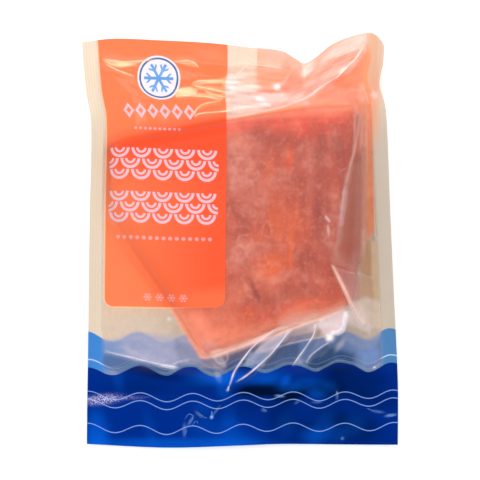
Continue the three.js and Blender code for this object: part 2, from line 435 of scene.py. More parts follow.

# Soft patches on the films: x, y, half sizes, turn in degrees and amount
# Added or removed fog in the film; the veils above the top edge and below the right corner are
# painted sheen
MILKIER = [
    (40.9, -38.9, 11.5, 3.4, 6, 0.5),
    (24, -42.8, 20.2, 2.9, 17, 0.25),
    (43.8, -47.1, 2.4, 1.9, 20, 0.5),
    (53.8, -28.4, 4.3, 13.5, 25, -0.2),
    (34.1, 83.2, 7.7, 3.8, 0, 0.3),
    (40.9, 83.2, 25, 3.8, 33, 0.28),
    (50.5, 93.8, 10.6, 3.4, 22, 0.45),
    (14.4, 88, 10.6, 4.3, -8, 0.35),
    (31.7, 82.2, 3.4, 3.8, 0, 0.35),
    (7.2, 67.8, 16.3, 4.3, 6, 0.3),
    (28.8, 68.8, 14.4, 3.8, 10, 0.1),
    (65.9, -53.4, 5.8, 5.8, 0, -0.2),
    (-63.5, -54.8, 3.8, 6.7, 0, -0.3),
    (50.5, -57.2, 10.6, 4.3, 0, -0.15),
    (60.1, 33.8, 3.4, 48, 0, -0.25),
    (60.5, -10, 4.3, 14, 5, 0.2),
    (0, 88.9, 6.7, 3.8, 0, -0.25),
    (-8.7, -55.8, 4.3, 4.3, 0, 0.15),
    (60.6, 87, 2.4, 12.5, 0, -0.2),
    (63, 0.5, 2.4, 28.8, 0, -0.25),
    (9.6, 87.5, 4.3, 3.8, 0, -0.5),
    (-64.4, -60.1, 5.3, 3.4, 0, -0.35),
    (-0.5, -55.3, 5.3, 2.9, 0, -0.2),
]
# Painted light: paler mist and a lighter blue sea where the film would catch the lamps
PAINTED_LIGHT_PATCHES = [
    (40.9, -38.9, 12.5, 3.8, 6, 1),
    (24, -42.8, 20.2, 2.9, 17, 0.7),
    (-12.5, -64.9, 11.5, 4.3, 10, 0.55),
    (10.6, -65.4, 10.6, 3.4, 5, 0.45),
    (22.1, -66.8, 1.9, 2.9, -40, 0.5),
    (-33.7, -98, 43.3, 3.4, 0, 0.6),
    (-2, -96.6, 12, 4.8, 0, 0.35),
    (-19.2, -88, 6.7, 7.7, 20, 0.1),
    (39.4, -90.9, 4.8, 9.6, -25, 0.22),
    (-58.7, -65.9, 2.9, 6.7, 10, 0.2),
    (-43.3, -90.9, 2.9, 8.7, 10, 0.15),
    (22.1, -88.5, 4.8, 5.8, 0, 0.15),
    (55.3, -88.5, 5.8, 4.8, 20, 0.2),
    (-4.8, -89.9, 5.8, 4.8, 0, 0.15),
    (-68.8, -92.8, 5.8, 9.6, 0, 0.5),
    (-69.2, -84.1, 3.8, 4.8, 0, 0.15),
    (-5.3, -85.1, 3.8, 5.8, 0, 0.15),
    (-17.8, -80.3, 4.8, 2.9, 0, 0.15),
    (15.4, -67.3, 6.7, 2.4, 0, 0.15),
    (-68.8, -94.8, 5.8, 5, 0, 0.25),
    (-11.5, -89.9, 14.4, 5.8, 0, 0.1),
    (34.6, -93.8, 5.8, 3.8, 0, 0.3),
    (46.2, -92.8, 5.8, 4.8, 0, 0.2),
    (32.7, -68.8, 8.7, 3.4, 0, 0.3),
    (-5.3, -65.9, 8.7, 3.4, 0, 0.45),
    (23.1, -70.2, 5.8, 2.4, 0, 0.3),
    (37, -73.6, 4.3, 2.4, 0, 0.35),
    (43.3, -70.2, 3.8, 2.9, 0, 0.2),
    (-7.7, -70.7, 3.8, 4.8, 0, 0.35),
    (16.3, -53.8, 3.4, 2.4, 0, 0.12),
    (-13.9, -50.5, 2.9, 2.4, 0, 0.25),
]
# Painted shade: darker mist and a darker blue sea in the folds and beside the portion
PAINTED_SHADE_PATCHES = [
    (10.6, -72.1, 14.4, 2.4, 2, 1),
    (28.8, -71.6, 16.3, 3.8, 0, 0.7),
    (56.7, -67.8, 17.3, 7.7, 0, 0.55),
    (-48.1, -68.8, 16.3, 4.8, 0, 0.25),
    (14.4, -77.4, 19.2, 3.8, 0, 0.3),
    (69.7, -77.4, 8.7, 4.8, 0, 0.35),
    (-43.3, -63, 16.3, 2.4, -12, 0.6),
    (-6.7, -58.2, 14.4, 4.3, -5, 0.55),
    (20.7, -53.4, 17.3, 4.8, 14, 0.5),
    (60.5, -10.5, 4.3, 13.5, 5, 0.85),
    (59.6, -42.3, 9.6, 4.3, 0, 0.2),
    (45.2, -93.3, 26.9, 7.7, 0, 0.45),
    (40, -84.6, 24, 5.8, 0, 0.2),
    (56.2, -24.5, 2.4, 12.5, 5, 0.25),
    (1.4, -82.2, 19.2, 4.3, 0, 0.15),
    (55.8, -88, 10.6, 6.7, 0, 0.25),
    (-17.8, -68.8, 6.7, 3.8, 0, 0.25),
    (7.2, -69.7, 7.7, 2.9, 0, 0.35),
    (19.7, -85.1, 7.7, 8.7, 0, 0.2),
    (43.8, -76.4, 7.2, 14.4, 0, 0.3),
    (6.3, -70.7, 6.7, 4.3, 0, 0.25),
    (28.8, -68.8, 20.2, 4.8, 0, 0.2),
    (20.2, -86.1, 6.7, 4.8, 0, 0.2),
    (-43.3, -72.6, 33.7, 3.4, 0, 0.12),
    (47.1, -61.1, 8.7, 3.4, 0, 0.35),
    (23.1, -74.5, 6.7, 3.4, 0, 0.5),
    (58.2, -76.4, 7.7, 5.3, 0, 0.25),
    (56.7, -88, 7.2, 4.3, 0, 0.2),
    (-20.7, -84.1, 4.8, 4.3, 0, 0.22),
    (-20.7, -67.8, 5.8, 2.9, 0, 0.22),
    (1.4, -56.3, 6.3, 3.4, 10, 0.3),
    (-20.7, -57.2, 4.8, 2.9, 0, 0.22),
    (56.7, -50.5, 3.4, 2.9, 0, 0.22),
    (-64.4, -60.1, 3.8, 2.4, 0, 0.3),
    (-30.8, -43.8, 2.9, 3.8, 0, 0.12),
]
MAUVE = [
    (7.2, -50.5, 18.3, 6.2, 18, 0.9),
    (-8.7, -56.2, 6.7, 5.8, 0, 0.8),
    (28.8, -45.2, 14.4, 3.8, 12, 0.4),
    (56.2, -26.4, 4.3, 10.6, 20, 0.5),
    (-43.3, -62.5, 11.5, 1.4, -10, 0.3),
]
# Painted highlights: glints and sheens laid on the film
PAINTED_GLARE = [
    (-55.3, 84.9, 4.8, 1, 0, 0.6),
    (-26, 72.4, 3.8, 1.7, 4, 0.6),
    (-19.2, 70.4, 5.8, 0.8, -5, 0.45),
    (-14.4, 73.1, 7.2, 0.7, -12, 0.3),
    (-11.5, 76.4, 6.2, 0.9, 0, 0.45),
    (-4.6, 76, 2.9, 3.4, 0, 0.6),
    (1.4, 73.8, 7.2, 1.2, 3, 0.35),
    (10, 67.6, 3.6, 1.9, -36, 0.5),
    (17.8, 73.6, 2.2, 2, 0, 0.95),
    (4.8, 64.9, 11.5, 0.9, 5, 0.3),
    (49.7, 82.1, 2.4, 1, 45, 0.7),
    (64.4, 70.2, 2.4, 1.9, -30, 0.45),
    (43.1, -46.4, 2.1, 1.9, 0, 0.95),
    (-34.6, -60.3, 4.3, 0.9, -8, 0.5),
    (39.4, -40.4, 9.6, 1.9, 4, 0.35),
    (-5.9, -71.6, 0.7, 0.7, 0, 0.7),
    (0, 77.9, 2.9, 1.9, 40, 0.3),
    (-34.1, -37.5, 1.1, 1.1, 0, 0.7),
    (48.1, -50, 1.4, 3.8, -35, 0.2),
    (42.1, 10.6, 1.9, 1.1, -48, 0.32),
    (42.5, 5.3, 1, 2.9, 4, 0.26),
    # Glints on the dark sea
    (-26.7, -90.9, 0.9, 2.9, 0, 0.2),
    (-23.7, -86.5, 2.4, 0.7, 58, 0.2),
    (-19.7, -83.4, 2.2, 0.6, -40, 0.2),
    (-13.6, -84.6, 0.7, 0.8, 0, 0.8),
    (-11.5, -81.7, 2.9, 0.5, 52, 0.18),
    (19, -74.5, 2.1, 0.6, -6, 0.45),
    (27.4, -77.5, 1.4, 0.6, 30, 0.16),
    (37, -77.5, 2.2, 0.5, 0, 0.18),
    (11.5, -81.4, 1.3, 0.6, -20, 0.22),
    (72.4, -83.8, 2.5, 0.6, 8, 0.42),
    (66.3, -82, 2.9, 0.6, -8, 0.18),
    (49.2, -94.9, 0.7, 0.7, 0, 0.28),
    (46.6, -74.3, 0.7, 2.2, 0, 0.14),
    (-10.6, -64.9, 1.4, 2.9, 20, 0.22),
]

# Panes of film between the folds: corners, softness of the edge, how fully the pane replaces
# what lies under it, how milky it is and its colour, with painted shade and painted sheen in it
FILM_PANES = [
    # The smooth film between the valley and the label
    ([
        (8.7, 91.8), (14.4, 91.8), (23.1, 89.9), (24.5, 83.7), (10.6, 85.1), (8.2, 85.1),
    ], 1.2, 0.85, 0.5, "#FCD4C2"),
    # The paler bend left of the valley
    ([
        (17.3, 91.3), (28.4, 88), (30.8, 84.1), (28.8, 80.3), (25, 81.7), (23.1, 87),
    ], 1, 0.85, 0.62, "#FFD8C8"),
    # The loose film next to the label
    ([(-5.8, 84.6), (6.7, 84.6), (9.6, 73.6), (6.7, 63.9), (-5.8, 63)], 2, 0.9, 0.88, "#F2CCB6"),
    # The film under the roof's ridge
    ([
        (7.7, 83.7), (18.3, 82.7), (24.5, 80.8), (20.7, 75.5), (16.3, 71.6), (10.6, 71.6),
        (7.7, 77.4),
    ], 2, 0.9, 0.7, "#F8B08E"),
    # The pale film just above the portion
    ([
        (-3.8, 71.6), (4.8, 72.6), (13.5, 71.2), (22.1, 69.7), (24, 66.3), (15.4, 63.5), (0, 62),
        (-5.8, 63),
    ], 1.6, 0.9, 0.86, "#F2C6BC"),
    # Clear film beside the valley
    ([
        (20.7, 73.6), (25, 81.3), (30.3, 79.3), (31.7, 73.6), (27.9, 70.2), (22.1, 69.7),
    ], 2.2, 0.55, 0.35, "#FFA488"),
    # The pale fold at the valley
    ([(28.4, 88), (31.3, 78.8), (37, 85.6), (33.2, 88.5)], 0.9, 0.85, 0.9, "#FFE6DC"),
    # Film that rises to the raised corner
    ([
        (31.7, 78.4), (37, 85.1), (43.3, 86.1), (50, 83.2), (48.1, 80.3), (43.3, 76.9),
        (37.5, 73.6), (31.7, 70.7),
    ], 1.4, 0.85, 0.62, "#FAC2B0"),
    # Its palest part
    ([
        (24, 68.8), (30.8, 72.1), (36.5, 77.4), (39.4, 75.5), (34.6, 70.7), (28.8, 67.8),
        (23.1, 66.3),
    ], 1, 0.8, 0.8, "#F8C6BE"),
    # The pale sheet above the creases
    ([
        (33.7, 85.6), (39.4, 90.9), (47.1, 94.2), (52.9, 96.9), (61.1, 98.3), (60.6, 93.8),
        (58.2, 91.8), (50.5, 90.4), (43.3, 88.5), (37.5, 86.1),
    ], 1.2, 0.9, 0.82, "#FADACE"),
    # The wedge between two creases
    ([
        (41.3, 86.1), (50.5, 89.7), (58.2, 91.3), (56.3, 88.9), (52.9, 85.6), (47.1, 84.1),
    ], 1, 0.85, 0.5, "#FFC0AC"),
    # Clear film below the crease
    ([
        (31.7, 68.3), (39.4, 73.1), (46.2, 77.4), (50, 79.3), (52.9, 72.6), (60.6, 72.1),
        (61.1, 64.9), (48.1, 64.9), (34.6, 64.4),
    ], 1, 0.85, 0.45, "#FFAC8E"),
    # The clean triangle under the raised corner
    ([
        (44.2, 75.2), (48.6, 79.3), (51.4, 80), (54.3, 83.2), (57.7, 87.5), (60.6, 90.9),
        (62, 86.1), (61.5, 75.5), (57.7, 73.1), (50.5, 73.1),
    ], 0.9, 0.9, 0.5, "#FF9670"),
    # Film between it and the corner's seal
    ([
        (57.2, 75.5), (60.6, 77.4), (63.5, 72.6), (64.4, 64.9), (58.7, 64.9), (56.3, 68.8),
    ], 1.4, 0.85, 0.7, "#FFB69A"),
    # The pale band along the crease
    ([
        (10.6, 63.9), (23.1, 67.3), (28.8, 69.7), (34.6, 72.6), (36.5, 71.6), (30.8, 66.3),
        (24, 63.9), (13.5, 61.5),
    ], 0.8, 0.8, 0.62, "#FCC0B0"),
    # The strip beside the corner's seal
    ([
        (60.6, 94.7), (62.5, 96.2), (63.9, 93.8), (64.2, 86.1), (63.5, 77.4), (62.7, 71.6),
        (60.8, 71.6), (60.8, 82.2),
    ], 1.4, 1, 0.95, "#F88C66"),
    # Its pale top
    ([(59.6, 100), (64.4, 100), (64.4, 95.7), (59.6, 95.2)], 1.4, 0.8, 0.8, "#FCD2C2"),
    # Film over the portion's upper right corner
    ([(55.3, 65.9), (60.6, 66.3), (60.6, 61.1), (55.8, 60.6)], 1.6, 0.95, 0.8, "#F48C6C"),
    # Below the corner, darker
    ([
        (55.3, 60.1), (57.7, 61.1), (58.2, 53.4), (57.7, 38.9), (53.8, 36.1), (55, 48.6),
    ], 1.2, 0.9, 0.85, "#B64E36"),
    # The fogged rim at the lower right
    ([
        (18.8, -38.9), (24, -36.5), (30.3, -34.9), (36.5, -33.7), (37.5, -36.5), (30.3, -38.7),
        (26, -41.3), (20.2, -42.3),
    ], 2.6, 0.6, 0.75, "#FABAA6"),
    # The tip at the bottom
    ([
        (-17.3, -47.6), (-11.5, -47.6), (-9.1, -52.4), (-13.9, -54.8), (-17.8, -51.4),
    ], 2.4, 0.35, 0.75, "#FFBCA6"),
    # Beside it, paler
    ([(57.7, 61.1), (60.7, 62), (60.8, 43.8), (57.9, 42.8)], 0.9, 0.95, 0.9, "#DA8468"),
    # Film that stands off the right flank
    ([
        (53.8, 38.9), (58.7, 44.7), (60.6, 39.9), (60.6, 7.7), (60.1, -4.3), (52.9, -6.3),
        (46.6, -5.3), (48.1, 6.3), (49, 17.3), (51.4, 28.4),
    ], 2.2, 0.92, 0.75, "#A65C4A"),
    # Its lower end, which fades out
    ([
        (47.1, -2.4), (52.9, -1.4), (59.6, -2.4), (60.6, -10.1), (57.7, -13.9), (51, -12),
        (45.7, -10.1),
    ], 3, 0.85, 0.7, "#AE6254"),
    # The pale line that borders it
    ([
        (57.5, 62), (58.1, 61.5), (57, 51.4), (55, 41.3), (53.5, 36.1), (51.4, 27.9), (50.7, 27.9),
        (52.5, 36.1), (54, 41.3), (56.3, 52.4),
    ], 0.4, 0.6, 0.7, "#E6A292"),
    # A paler stretch lower down
    ([
        (50.5, 26.4), (51.9, 23.6), (51, 14.9), (49.5, 7.2), (47.8, 7.2), (48.6, 16.8),
        (49.5, 23.6),
    ], 0.9, 0.7, 0.8, "#CC9696"),
    # The bend beside the flank
    ([
        (58.4, 43.8), (60.9, 45.7), (61, 7.2), (60.6, -8.2), (58.9, -10.1), (58.4, 0.5),
    ], 0.9, 0.92, 0.9, "#BC7662"),
    # Its paler lower end
    ([(58.4, 5.3), (60.8, 6.3), (61, -10.1), (58.7, -12)], 1.4, 0.8, 0.9, "#BE8A76"),
    # Film over the panel, in full light
    ([(60.5, 66.3), (63.8, 66.3), (63.9, 57.7), (60.6, 57.7)], 0.8, 1, 0.97, "#FA966E"),
    # A little lower
    ([(60.5, 58.7), (63.9, 58.7), (64, 50.5), (60.6, 50.5)], 0.8, 1, 0.97, "#EE8E6C"),
    # Lower again
    ([(60.6, 51.4), (64, 51.4), (64.2, 42.3), (60.7, 42.3)], 0.8, 1, 0.97, "#E28866"),
    # The same strip lower down
    ([(60.7, 43.3), (64.2, 43.3), (64.4, 19.7), (60.8, 19.7)], 0.7, 1, 0.95, "#DA845F"),
    # Its foot, where the panel ends
    ([(60.8, 20.7), (64.4, 20.7), (64.5, 6.3), (63, 1.2), (60.9, 0.7)], 0.5, 1, 0.95, "#D27C58"),
    # Film in the narrow gap beside the seal
    ([
        (64.4, 48.6), (66.6, 48.6), (66.8, 29.3), (66.8, 2.4), (64.9, 2.4), (64.6, 38.9),
    ], 0.5, 1, 0.97, "#D0A890"),
    # Its bright upper part
    ([(63.5, 67.8), (66.3, 67.8), (66.6, 45.7), (64.2, 45.7)], 0.8, 1, 0.97, "#F2A888"),
    # Dim film below the panel
    ([
        (60.6, 0), (63.5, 0.5), (63.9, -10.1), (63.5, -18.8), (58.2, -16.8), (58.4, -10.1),
    ], 1.2, 0.92, 0.92, "#AE7E58"),
    # Its lighter side
    ([(63.2, -0.5), (66.3, 0), (67.5, -28.4), (63.5, -27.9)], 0.8, 0.95, 0.93, "#C6A686"),
    # The next stretch down
    ([
        (57.2, -17.3), (63.9, -19.2), (64.4, -30.3), (60.6, -28.4), (56.3, -27.4),
    ], 1.2, 0.92, 0.9, "#B88C6C"),
    # Paler film under it
    ([
        (56.7, -28.4), (60.6, -26.9), (68.3, -29.3), (68.8, -41.8), (60.6, -42.3), (56.3, -37),
    ], 1.5, 0.9, 0.88, "#D2BAA6"),
    # The flap at the lower right
    ([
        (43.8, -11.5), (48.6, -13.9), (57.2, -16.3), (57.5, -27.4), (56.3, -36.5), (53.4, -30.8),
        (48.6, -20.2),
    ], 0.7, 0.9, 0.7, "#C08078"),
    # Its shaded upper part
    ([
        (45.7, -13.5), (50.5, -14.9), (53.8, -16.8), (52.9, -22.6), (51, -21.6), (48.1, -17.8),
    ], 1.2, 0.6, 0.75, "#A86C68"),
    # Its pale foot
    ([
        (53.8, -29.3), (57.2, -28.4), (60.6, -35.1), (60.6, -41.3), (57.2, -38.9),
    ], 1, 0.7, 0.8, "#E2C4B8"),
    # The pale rim of the flap
    ([
        (44, -11.5), (45.2, -12), (48.3, -17.3), (51.4, -23.6), (54.3, -30.3), (56.3, -34.6),
        (58.7, -38.5), (61.1, -41.1), (60.1, -41.8), (57.5, -39.4), (54.6, -35.6), (52.6, -31.3),
        (49.8, -25), (46.6, -17.8),
    ], 0.5, 0.9, 0.92, "#FCBCA8"),
    # Milky film at the lower left
    ([
        (-56.7, -46.6), (-43.3, -44.7), (-26, -46.6), (-17.3, -53.4), (-18.3, -57.2),
        (-29.8, -59.1), (-38.5, -58.2), (-52.4, -54.8), (-56.7, -52.4),
    ], 2.2, 0.9, 0.88, "#A9A8C0"),
    # Film just below the label
    ([(-65.4, -31.7), (-32.7, -31.7), (-34.6, -36.1), (-65.4, -35.6)], 2.5, 0.6, 0.75, "#E8C0A0"),
    # Bluer film beside the seal
    ([
        (-67.8, -48.6), (-58.7, -47.6), (-55.8, -52.4), (-56.7, -58.2), (-67.8, -60.1),
    ], 2.4, 0.85, 0.75, "#8A9CC0"),
    # Shaded film below the long crease
    ([
        (-65.4, -54.3), (-52.4, -57.2), (-38.5, -60.1), (-29.8, -61.5), (-32.7, -66.8),
        (-45.2, -66.8), (-58.7, -63.9), (-67.3, -59.1),
    ], 1.2, 0.85, 0.7, "#52688E"),
    # Dim film towards the portion's low corner
    ([
        (-30.8, -47.6), (-23.1, -49.5), (-17.3, -55.3), (-16.3, -63), (-24, -62), (-28.8, -58.2),
        (-31.7, -52.4),
    ], 1.8, 0.85, 0.88, "#908FA8"),
    # Deep blue film under it
    ([
        (-29.8, -59.1), (-20.2, -60.1), (-16.3, -66.8), (-21.2, -68.8), (-30.8, -65.9),
    ], 1.4, 0.8, 0.85, "#204C90"),
    # Grey film round the portion's low corner
    ([
        (-19.2, -54.3), (-16.3, -55.3), (-12.5, -57.2), (-5.8, -59.1), (-4.8, -63.9),
        (-12.5, -63.9), (-18.3, -61.1),
    ], 1.3, 0.9, 0.88, "#92869A"),
    # Bluer film under that
    ([
        (-19.2, -61.1), (-3.8, -61.1), (-1.9, -65.9), (-13.5, -67.3), (-18.3, -65.9),
    ], 1, 0.85, 0.88, "#4A6898"),
    # The pale bubble there
    ([
        (-13.9, -52.9), (-10.1, -51.7), (-6.3, -53.4), (-5.3, -58.2), (-8.7, -62.5), (-12.5, -60.6),
        (-14.4, -56.3),
    ], 1, 0.8, 0.88, "#B2A0AA"),
    # The dark spot in it
    ([(-9.1, -53.4), (-5.8, -53.4), (-4.3, -57.2), (-7.2, -58.2)], 0.8, 0.7, 0.9, "#665462"),
    # Blue film above the sea
    ([
        (-1.9, -63), (10.6, -60.1), (17.3, -60.1), (17.3, -68.8), (-1.9, -69.7),
    ], 1.2, 0.9, 0.9, "#2C5698"),
    # Brighter blue beside it
    ([
        (15.4, -60.1), (28.8, -59.1), (37.5, -59.1), (37.5, -68.8), (15.4, -68.8),
    ], 1.2, 0.9, 0.9, "#104A9C"),
    # Film left of the first fold
    ([
        (-7.7, -52.4), (2.9, -49), (19.7, -41.3), (13.5, -45.2), (6.7, -51), (1.4, -57.2),
        (-1.9, -63.5), (-5.3, -64.9), (-6.7, -58.2),
    ], 0.9, 0.9, 0.9, "#6E6478"),
    # Its lower end
    ([
        (-6.7, -58.2), (1.4, -56.3), (-1, -62), (-2.9, -65.9), (-5.8, -65.9),
    ], 1.2, 0.8, 0.9, "#465A88"),
    # The warm side of it
    ([
        (-8.7, -53.4), (2.9, -49), (20.7, -41.3), (17.3, -44.2), (5.8, -50.5), (-1.9, -53.8),
        (-6.7, -55.8),
    ], 0.9, 0.7, 0.85, "#B8969A"),
    # First web, upper part
    ([
        (19.7, -41.3), (26, -41.3), (20.2, -48.1), (14.9, -54.3), (5.8, -54.3), (13.5, -45.7),
    ], 0.7, 0.9, 0.9, "#C4B8C8"),
    # First web, middle
    ([
        (4.8, -53.4), (15.9, -53.4), (10.6, -58.7), (4.8, -61.5), (1.4, -61.5), (2.9, -57.2),
    ], 0.8, 0.9, 0.9, "#98A0BE"),
    # First web, lower end
    ([
        (1.4, -60.6), (9.6, -59.1), (4.8, -64.9), (0, -67.3), (-1.9, -65.9),
    ], 1, 0.85, 0.88, "#4472B8"),
    # Second web, upper part
    ([
        (26, -41.3), (36.5, -38.9), (34.6, -42.8), (26.9, -45.7), (24.5, -49), (20.2, -48.6),
    ], 0.7, 0.9, 0.88, "#AC98A2"),
    # Second web, middle
    ([
        (27.4, -45.2), (35.6, -43.8), (34.1, -48.1), (24.5, -50), (20.7, -49.5), (24, -46.6),
    ], 0.8, 0.85, 0.88, "#827C92"),
    # Second web, lower part
    ([
        (24.5, -49.5), (33.7, -48.1), (31.7, -51.4), (28.4, -55.8), (25.5, -60.1), (10.6, -62),
        (13.5, -55.3), (20.2, -49.5),
    ], 0.8, 0.9, 0.9, "#44567E"),
    # The veil below the portion's right corner
    ([
        (38, -38.9), (43.3, -35.1), (51.4, -33.2), (50, -39.4), (48.6, -42.8), (43.8, -45.7),
        (39.4, -44.7),
    ], 1, 0.9, 0.88, "#E2CACE"),
    # Film left of it
    ([
        (28.4, -40.4), (33.7, -38.2), (38, -38), (39.4, -44.2), (34.6, -43.3), (28.8, -43.3),
    ], 1.2, 0.85, 0.88, "#BA9A98"),
    # Grey blue film right of the fan
    ([
        (28.8, -48.1), (40.4, -45.7), (48.1, -44.7), (51.4, -43.3), (55.8, -45.2), (59.6, -47.6),
        (63.5, -48.1), (67.8, -46.2), (68.3, -58.2), (64.4, -61.5), (55.8, -62), (51.9, -59.6),
        (46.2, -59.1), (39.4, -62), (30.8, -62), (28.4, -54.3),
    ], 1.4, 0.95, 0.92, "#6478A2"),
    # The dark film in its middle
    ([
        (36.5, -53.4), (41.3, -50), (46.2, -51), (51, -52.9), (54.8, -54.3), (55.3, -60.1),
        (51.9, -58.2), (46.2, -57.2), (41.3, -60.1), (36.5, -63), (31.7, -62), (32.7, -57.2),
    ], 2.4, 0.92, 0.94, "#26426C"),
    # Darkest just above the sea
    ([
        (38.5, -60.1), (45.2, -57.7), (51.9, -57.7), (56.7, -61.5), (55.8, -66.8), (38.5, -66.8),
    ], 1.4, 0.85, 0.96, "#0A2456"),
    # Paler film above it
    ([
        (51, -43.8), (55.8, -45.7), (63.5, -48.6), (65.4, -46.6), (67.3, -47.6), (64.4, -51.4),
        (57.7, -52.4), (52.9, -49), (49, -46.6),
    ], 1.6, 0.7, 0.88, "#8A93B2"),
    # The light part beside the seal
    ([
        (56.7, -53.4), (64.4, -50.5), (66.8, -53.4), (65.9, -59.1), (59.6, -59.6),
    ], 2, 0.7, 0.9, "#7A94C8"),
    # The white fold from the portion's corner, a painted highlight
    ([
        (49.8, -33.7), (52.2, -33.7), (51.9, -38.9), (50.5, -43.3), (47.6, -45.2), (43.8, -45.2),
        (43.8, -43.3), (47.1, -42.8), (49, -40.4),
    ], 0.6, 0.85, 0.92, "#F4ECF0"),
    # Pale film between the flap and the veil
    ([
        (51.9, -32.2), (54.8, -31.3), (58.7, -37), (63.5, -40.9), (62.5, -44.7), (55.8, -41.8),
        (51.9, -39.9),
    ], 1.2, 0.85, 0.86, "#DCC6C0"),
]

# Facets with painted reflections of the lamps: corners, softness and strength
PAINTED_GLARE_FACETS = [
    # The long streaks at the label's top left
    ([
        (-66.2, 87.4), (-61.5, 86.9), (-56.7, 86.3), (-51, 86.5), (-47.1, 86.9), (-47.1, 86.2),
        (-51.9, 85.1), (-56.7, 83.8), (-61.1, 84.5), (-64.4, 85.9),
    ], 0.3, 0.42),
    # Behind the badge's right
    ([
        (-30.8, 86.4), (-25.5, 87), (-22.1, 85.7), (-19.7, 83.4), (-24, 84.1), (-27.9, 85.1),
    ], 0.3, 0.34),
    # The bright patch below the badge
    ([
        (-31.5, 71.4), (-28.8, 73.3), (-24, 74), (-20.2, 72.8), (-21.2, 70.4), (-26, 69.5),
        (-30.8, 69),
    ], 0.4, 0.5),
    # Streaks towards the label's right edge
    ([
        (-23.6, 75.2), (-17.3, 77.2), (-8.2, 78.1), (-8.2, 76.7), (-16.3, 75.5), (-21.2, 74.1),
    ], 0.35, 0.34),
    # The next streak
    ([
        (-21.2, 74), (-14.4, 74.8), (-8.2, 74), (-8.2, 72.4), (-15.4, 72.5), (-20.2, 73.1),
    ], 0.35, 0.26),
    # The lowest streak
    ([(-17.3, 72.1), (-12.5, 70.9), (-8.2, 70.2), (-8.2, 68), (-13.5, 68.8)], 0.35, 0.34),
    # The start of the clear film
    ([(-8.7, 78.4), (-3.8, 79.1), (0, 76.4), (-1, 72.6), (-4.8, 70.2), (-8.7, 69.2)], 0.7, 0.2),
    # The bright diagonal above the portion
    ([(7.7, 69.2), (9.4, 69.7), (13.5, 66.3), (15.4, 64.2), (13, 64.4), (9.6, 66.6)], 0.6, 0.25),
]

# Film folded into flat facets: middle, half sizes, turn, way of the folds, pitch and slope
FOLDED_PARTS = [
    (-38.5, 78.4, 31.7, 12.5, 0, -8, 4.5, 0.1),
    (4.8, 72.6, 19.2, 10.6, 0, 3, 4, 0.12),
    (40.9, 79.8, 25, 10.6, 32, 40, 4.5, 0.14),
    (60.1, 24.5, 3.8, 52.9, 0, 90, 4, 0.05),
    (55.3, -28.4, 5.8, 16.3, 25, -62, 5, 0.12),
    (24, -52.4, 28.8, 11.5, 12, 48, 4, 0.16),
    (-43.3, -52.4, 26.9, 10.6, -8, -16, 5, 0.12),
    (0, -81.2, 72.1, 17.3, 0, 4, 12, 0.05),
    (-58.7, 5.3, 6.7, 43.3, 0, 82, 6, 0.08),
]
# The crinkled bit in the lower seal: its relief is real and its sparkle is painted
CRINKLED = [
    (-66.5, -76.2, 8.5, 2.2, 6, 1),
    (-55, -75.4, 9, 0.9, 2, 0.35),
]
# Where the folds lift the printed sea: x, y, half sizes, turn and how far
LIFTED_PRINT = [
    (35.6, -62.5, 8, 8, 0, 1.9),
    (48.5, -60, 7, 8, 0, 1.1),
    (-69.5, -60.5, 10, 9, 0, -1.9),
    (-29.3, -61, 4, 8, 0, 1),
    (-16, -63.5, 4.5, 8, 0, -1.3),
    (18.5, -61.5, 6.5, 8, 0, 1.6),
    (43, -60.5, 6, 8, 0, 2.1),
    (56.5, -61.5, 3.5, 8, 0, 1),
]

# The flesh seen from above: x, y, half sizes, turn in degrees and amount
ORANGE_FLESH = [
    (15.4, -12, 8.7, 6.2, 15, 1),
    (22.1, 8.2, 10.6, 10.6, 0, 0.55),
    (24.5, -4.3, 1.4, 9.6, 0, 0.8),
    (24.5, 43.8, 2.4, 7.7, -10, 0.6),
    (28.8, 62, 7.7, 3.4, 3, 0.9),
    (17.3, 19.7, 4.8, 7.7, 20, 0.35),
    (43.3, 62, 12.5, 2.9, 3, 0.55),
    (-4.8, -40.4, 14.4, 6.7, 20, 0.55),
    (-24, -41.8, 6.7, 7.7, -30, 0.8),
    (38.5, -29.3, 12.5, 3.8, 12, 0.45),
    (13.5, 33.2, 2.4, 5.8, -15, 0.35),
    (2.4, 60.1, 12.5, 1.9, 6, 0.4),
    (-19, -49, 1.9, 2.4, 0, 0.6),
]
# Darker flesh, and painted shade down the right flank
DARK_AND_SHADED_FLESH = [
    (51.9, 24.5, 5.3, 33.7, 4, 0.75),
    (37.5, 12.5, 2.9, 13.5, 0, 0.6),
    (30.3, 22.1, 1.9, 14.4, 0, 0.35),
    (16.8, 48.6, 12.5, 4.3, -15, 0.5),
    (10.6, 43.8, 4.3, 5.8, -40, 0.3),
    (0, 11.1, 6.7, 1.4, -35, 0.6),
    (1, 5.3, 4.3, 1.2, -3, 0.6),
    (34.6, -10.1, 7.7, 5.8, 0, 0.35),
    (24, -24.5, 16.3, 3.4, 8, 0.4),
    (7.7, -25, 1.2, 5.3, 24, 1.4),
    (-3.8, 38.9, 1.4, 14.4, 0, 0.2),
    (39.4, -26.9, 5.8, 2.4, 0, 0.5),
    (45.7, 43.8, 2.4, 12.5, 0, 0.45),
    (39.4, 36.5, 2.4, 9.6, 8, 0.25),
    (50.5, -4.3, 3.8, 12.5, 0, 0.4),
    (38.9, 24.5, 5.3, 31.7, 2, 0.4),
    (30.8, 43.8, 6.7, 12.5, 0, 0.3),
    (23.1, 19.7, 5.8, 19.2, 0, 0.12),
    (6.3, 50.5, 11.5, 3.8, -4, 0.2),
    (28.8, 51.4, 14.4, 3.8, 0, 0.2),
    (47.1, 9.1, 2.9, 8.7, 0, 0.3),
    (47.6, -13.9, 2.9, 4.8, 0, 0.3),
    (44.2, 4.3, 2.9, 24, 0, 0.35),
    (42.8, 47.6, 6.7, 4.3, 0, 0.3),
    (-5.8, 38.9, 2.9, 14.4, 0, 0.2),
    (31.7, 36.5, 3.8, 4.8, 0, 0.25),
    (43.3, 0.5, 3.8, 5.8, 0, 0.25),
    (26.4, 53.4, 6.3, 3.4, 0, 0.35),
    (43.3, 54.8, 7.2, 5.8, 0, 0.35),
]
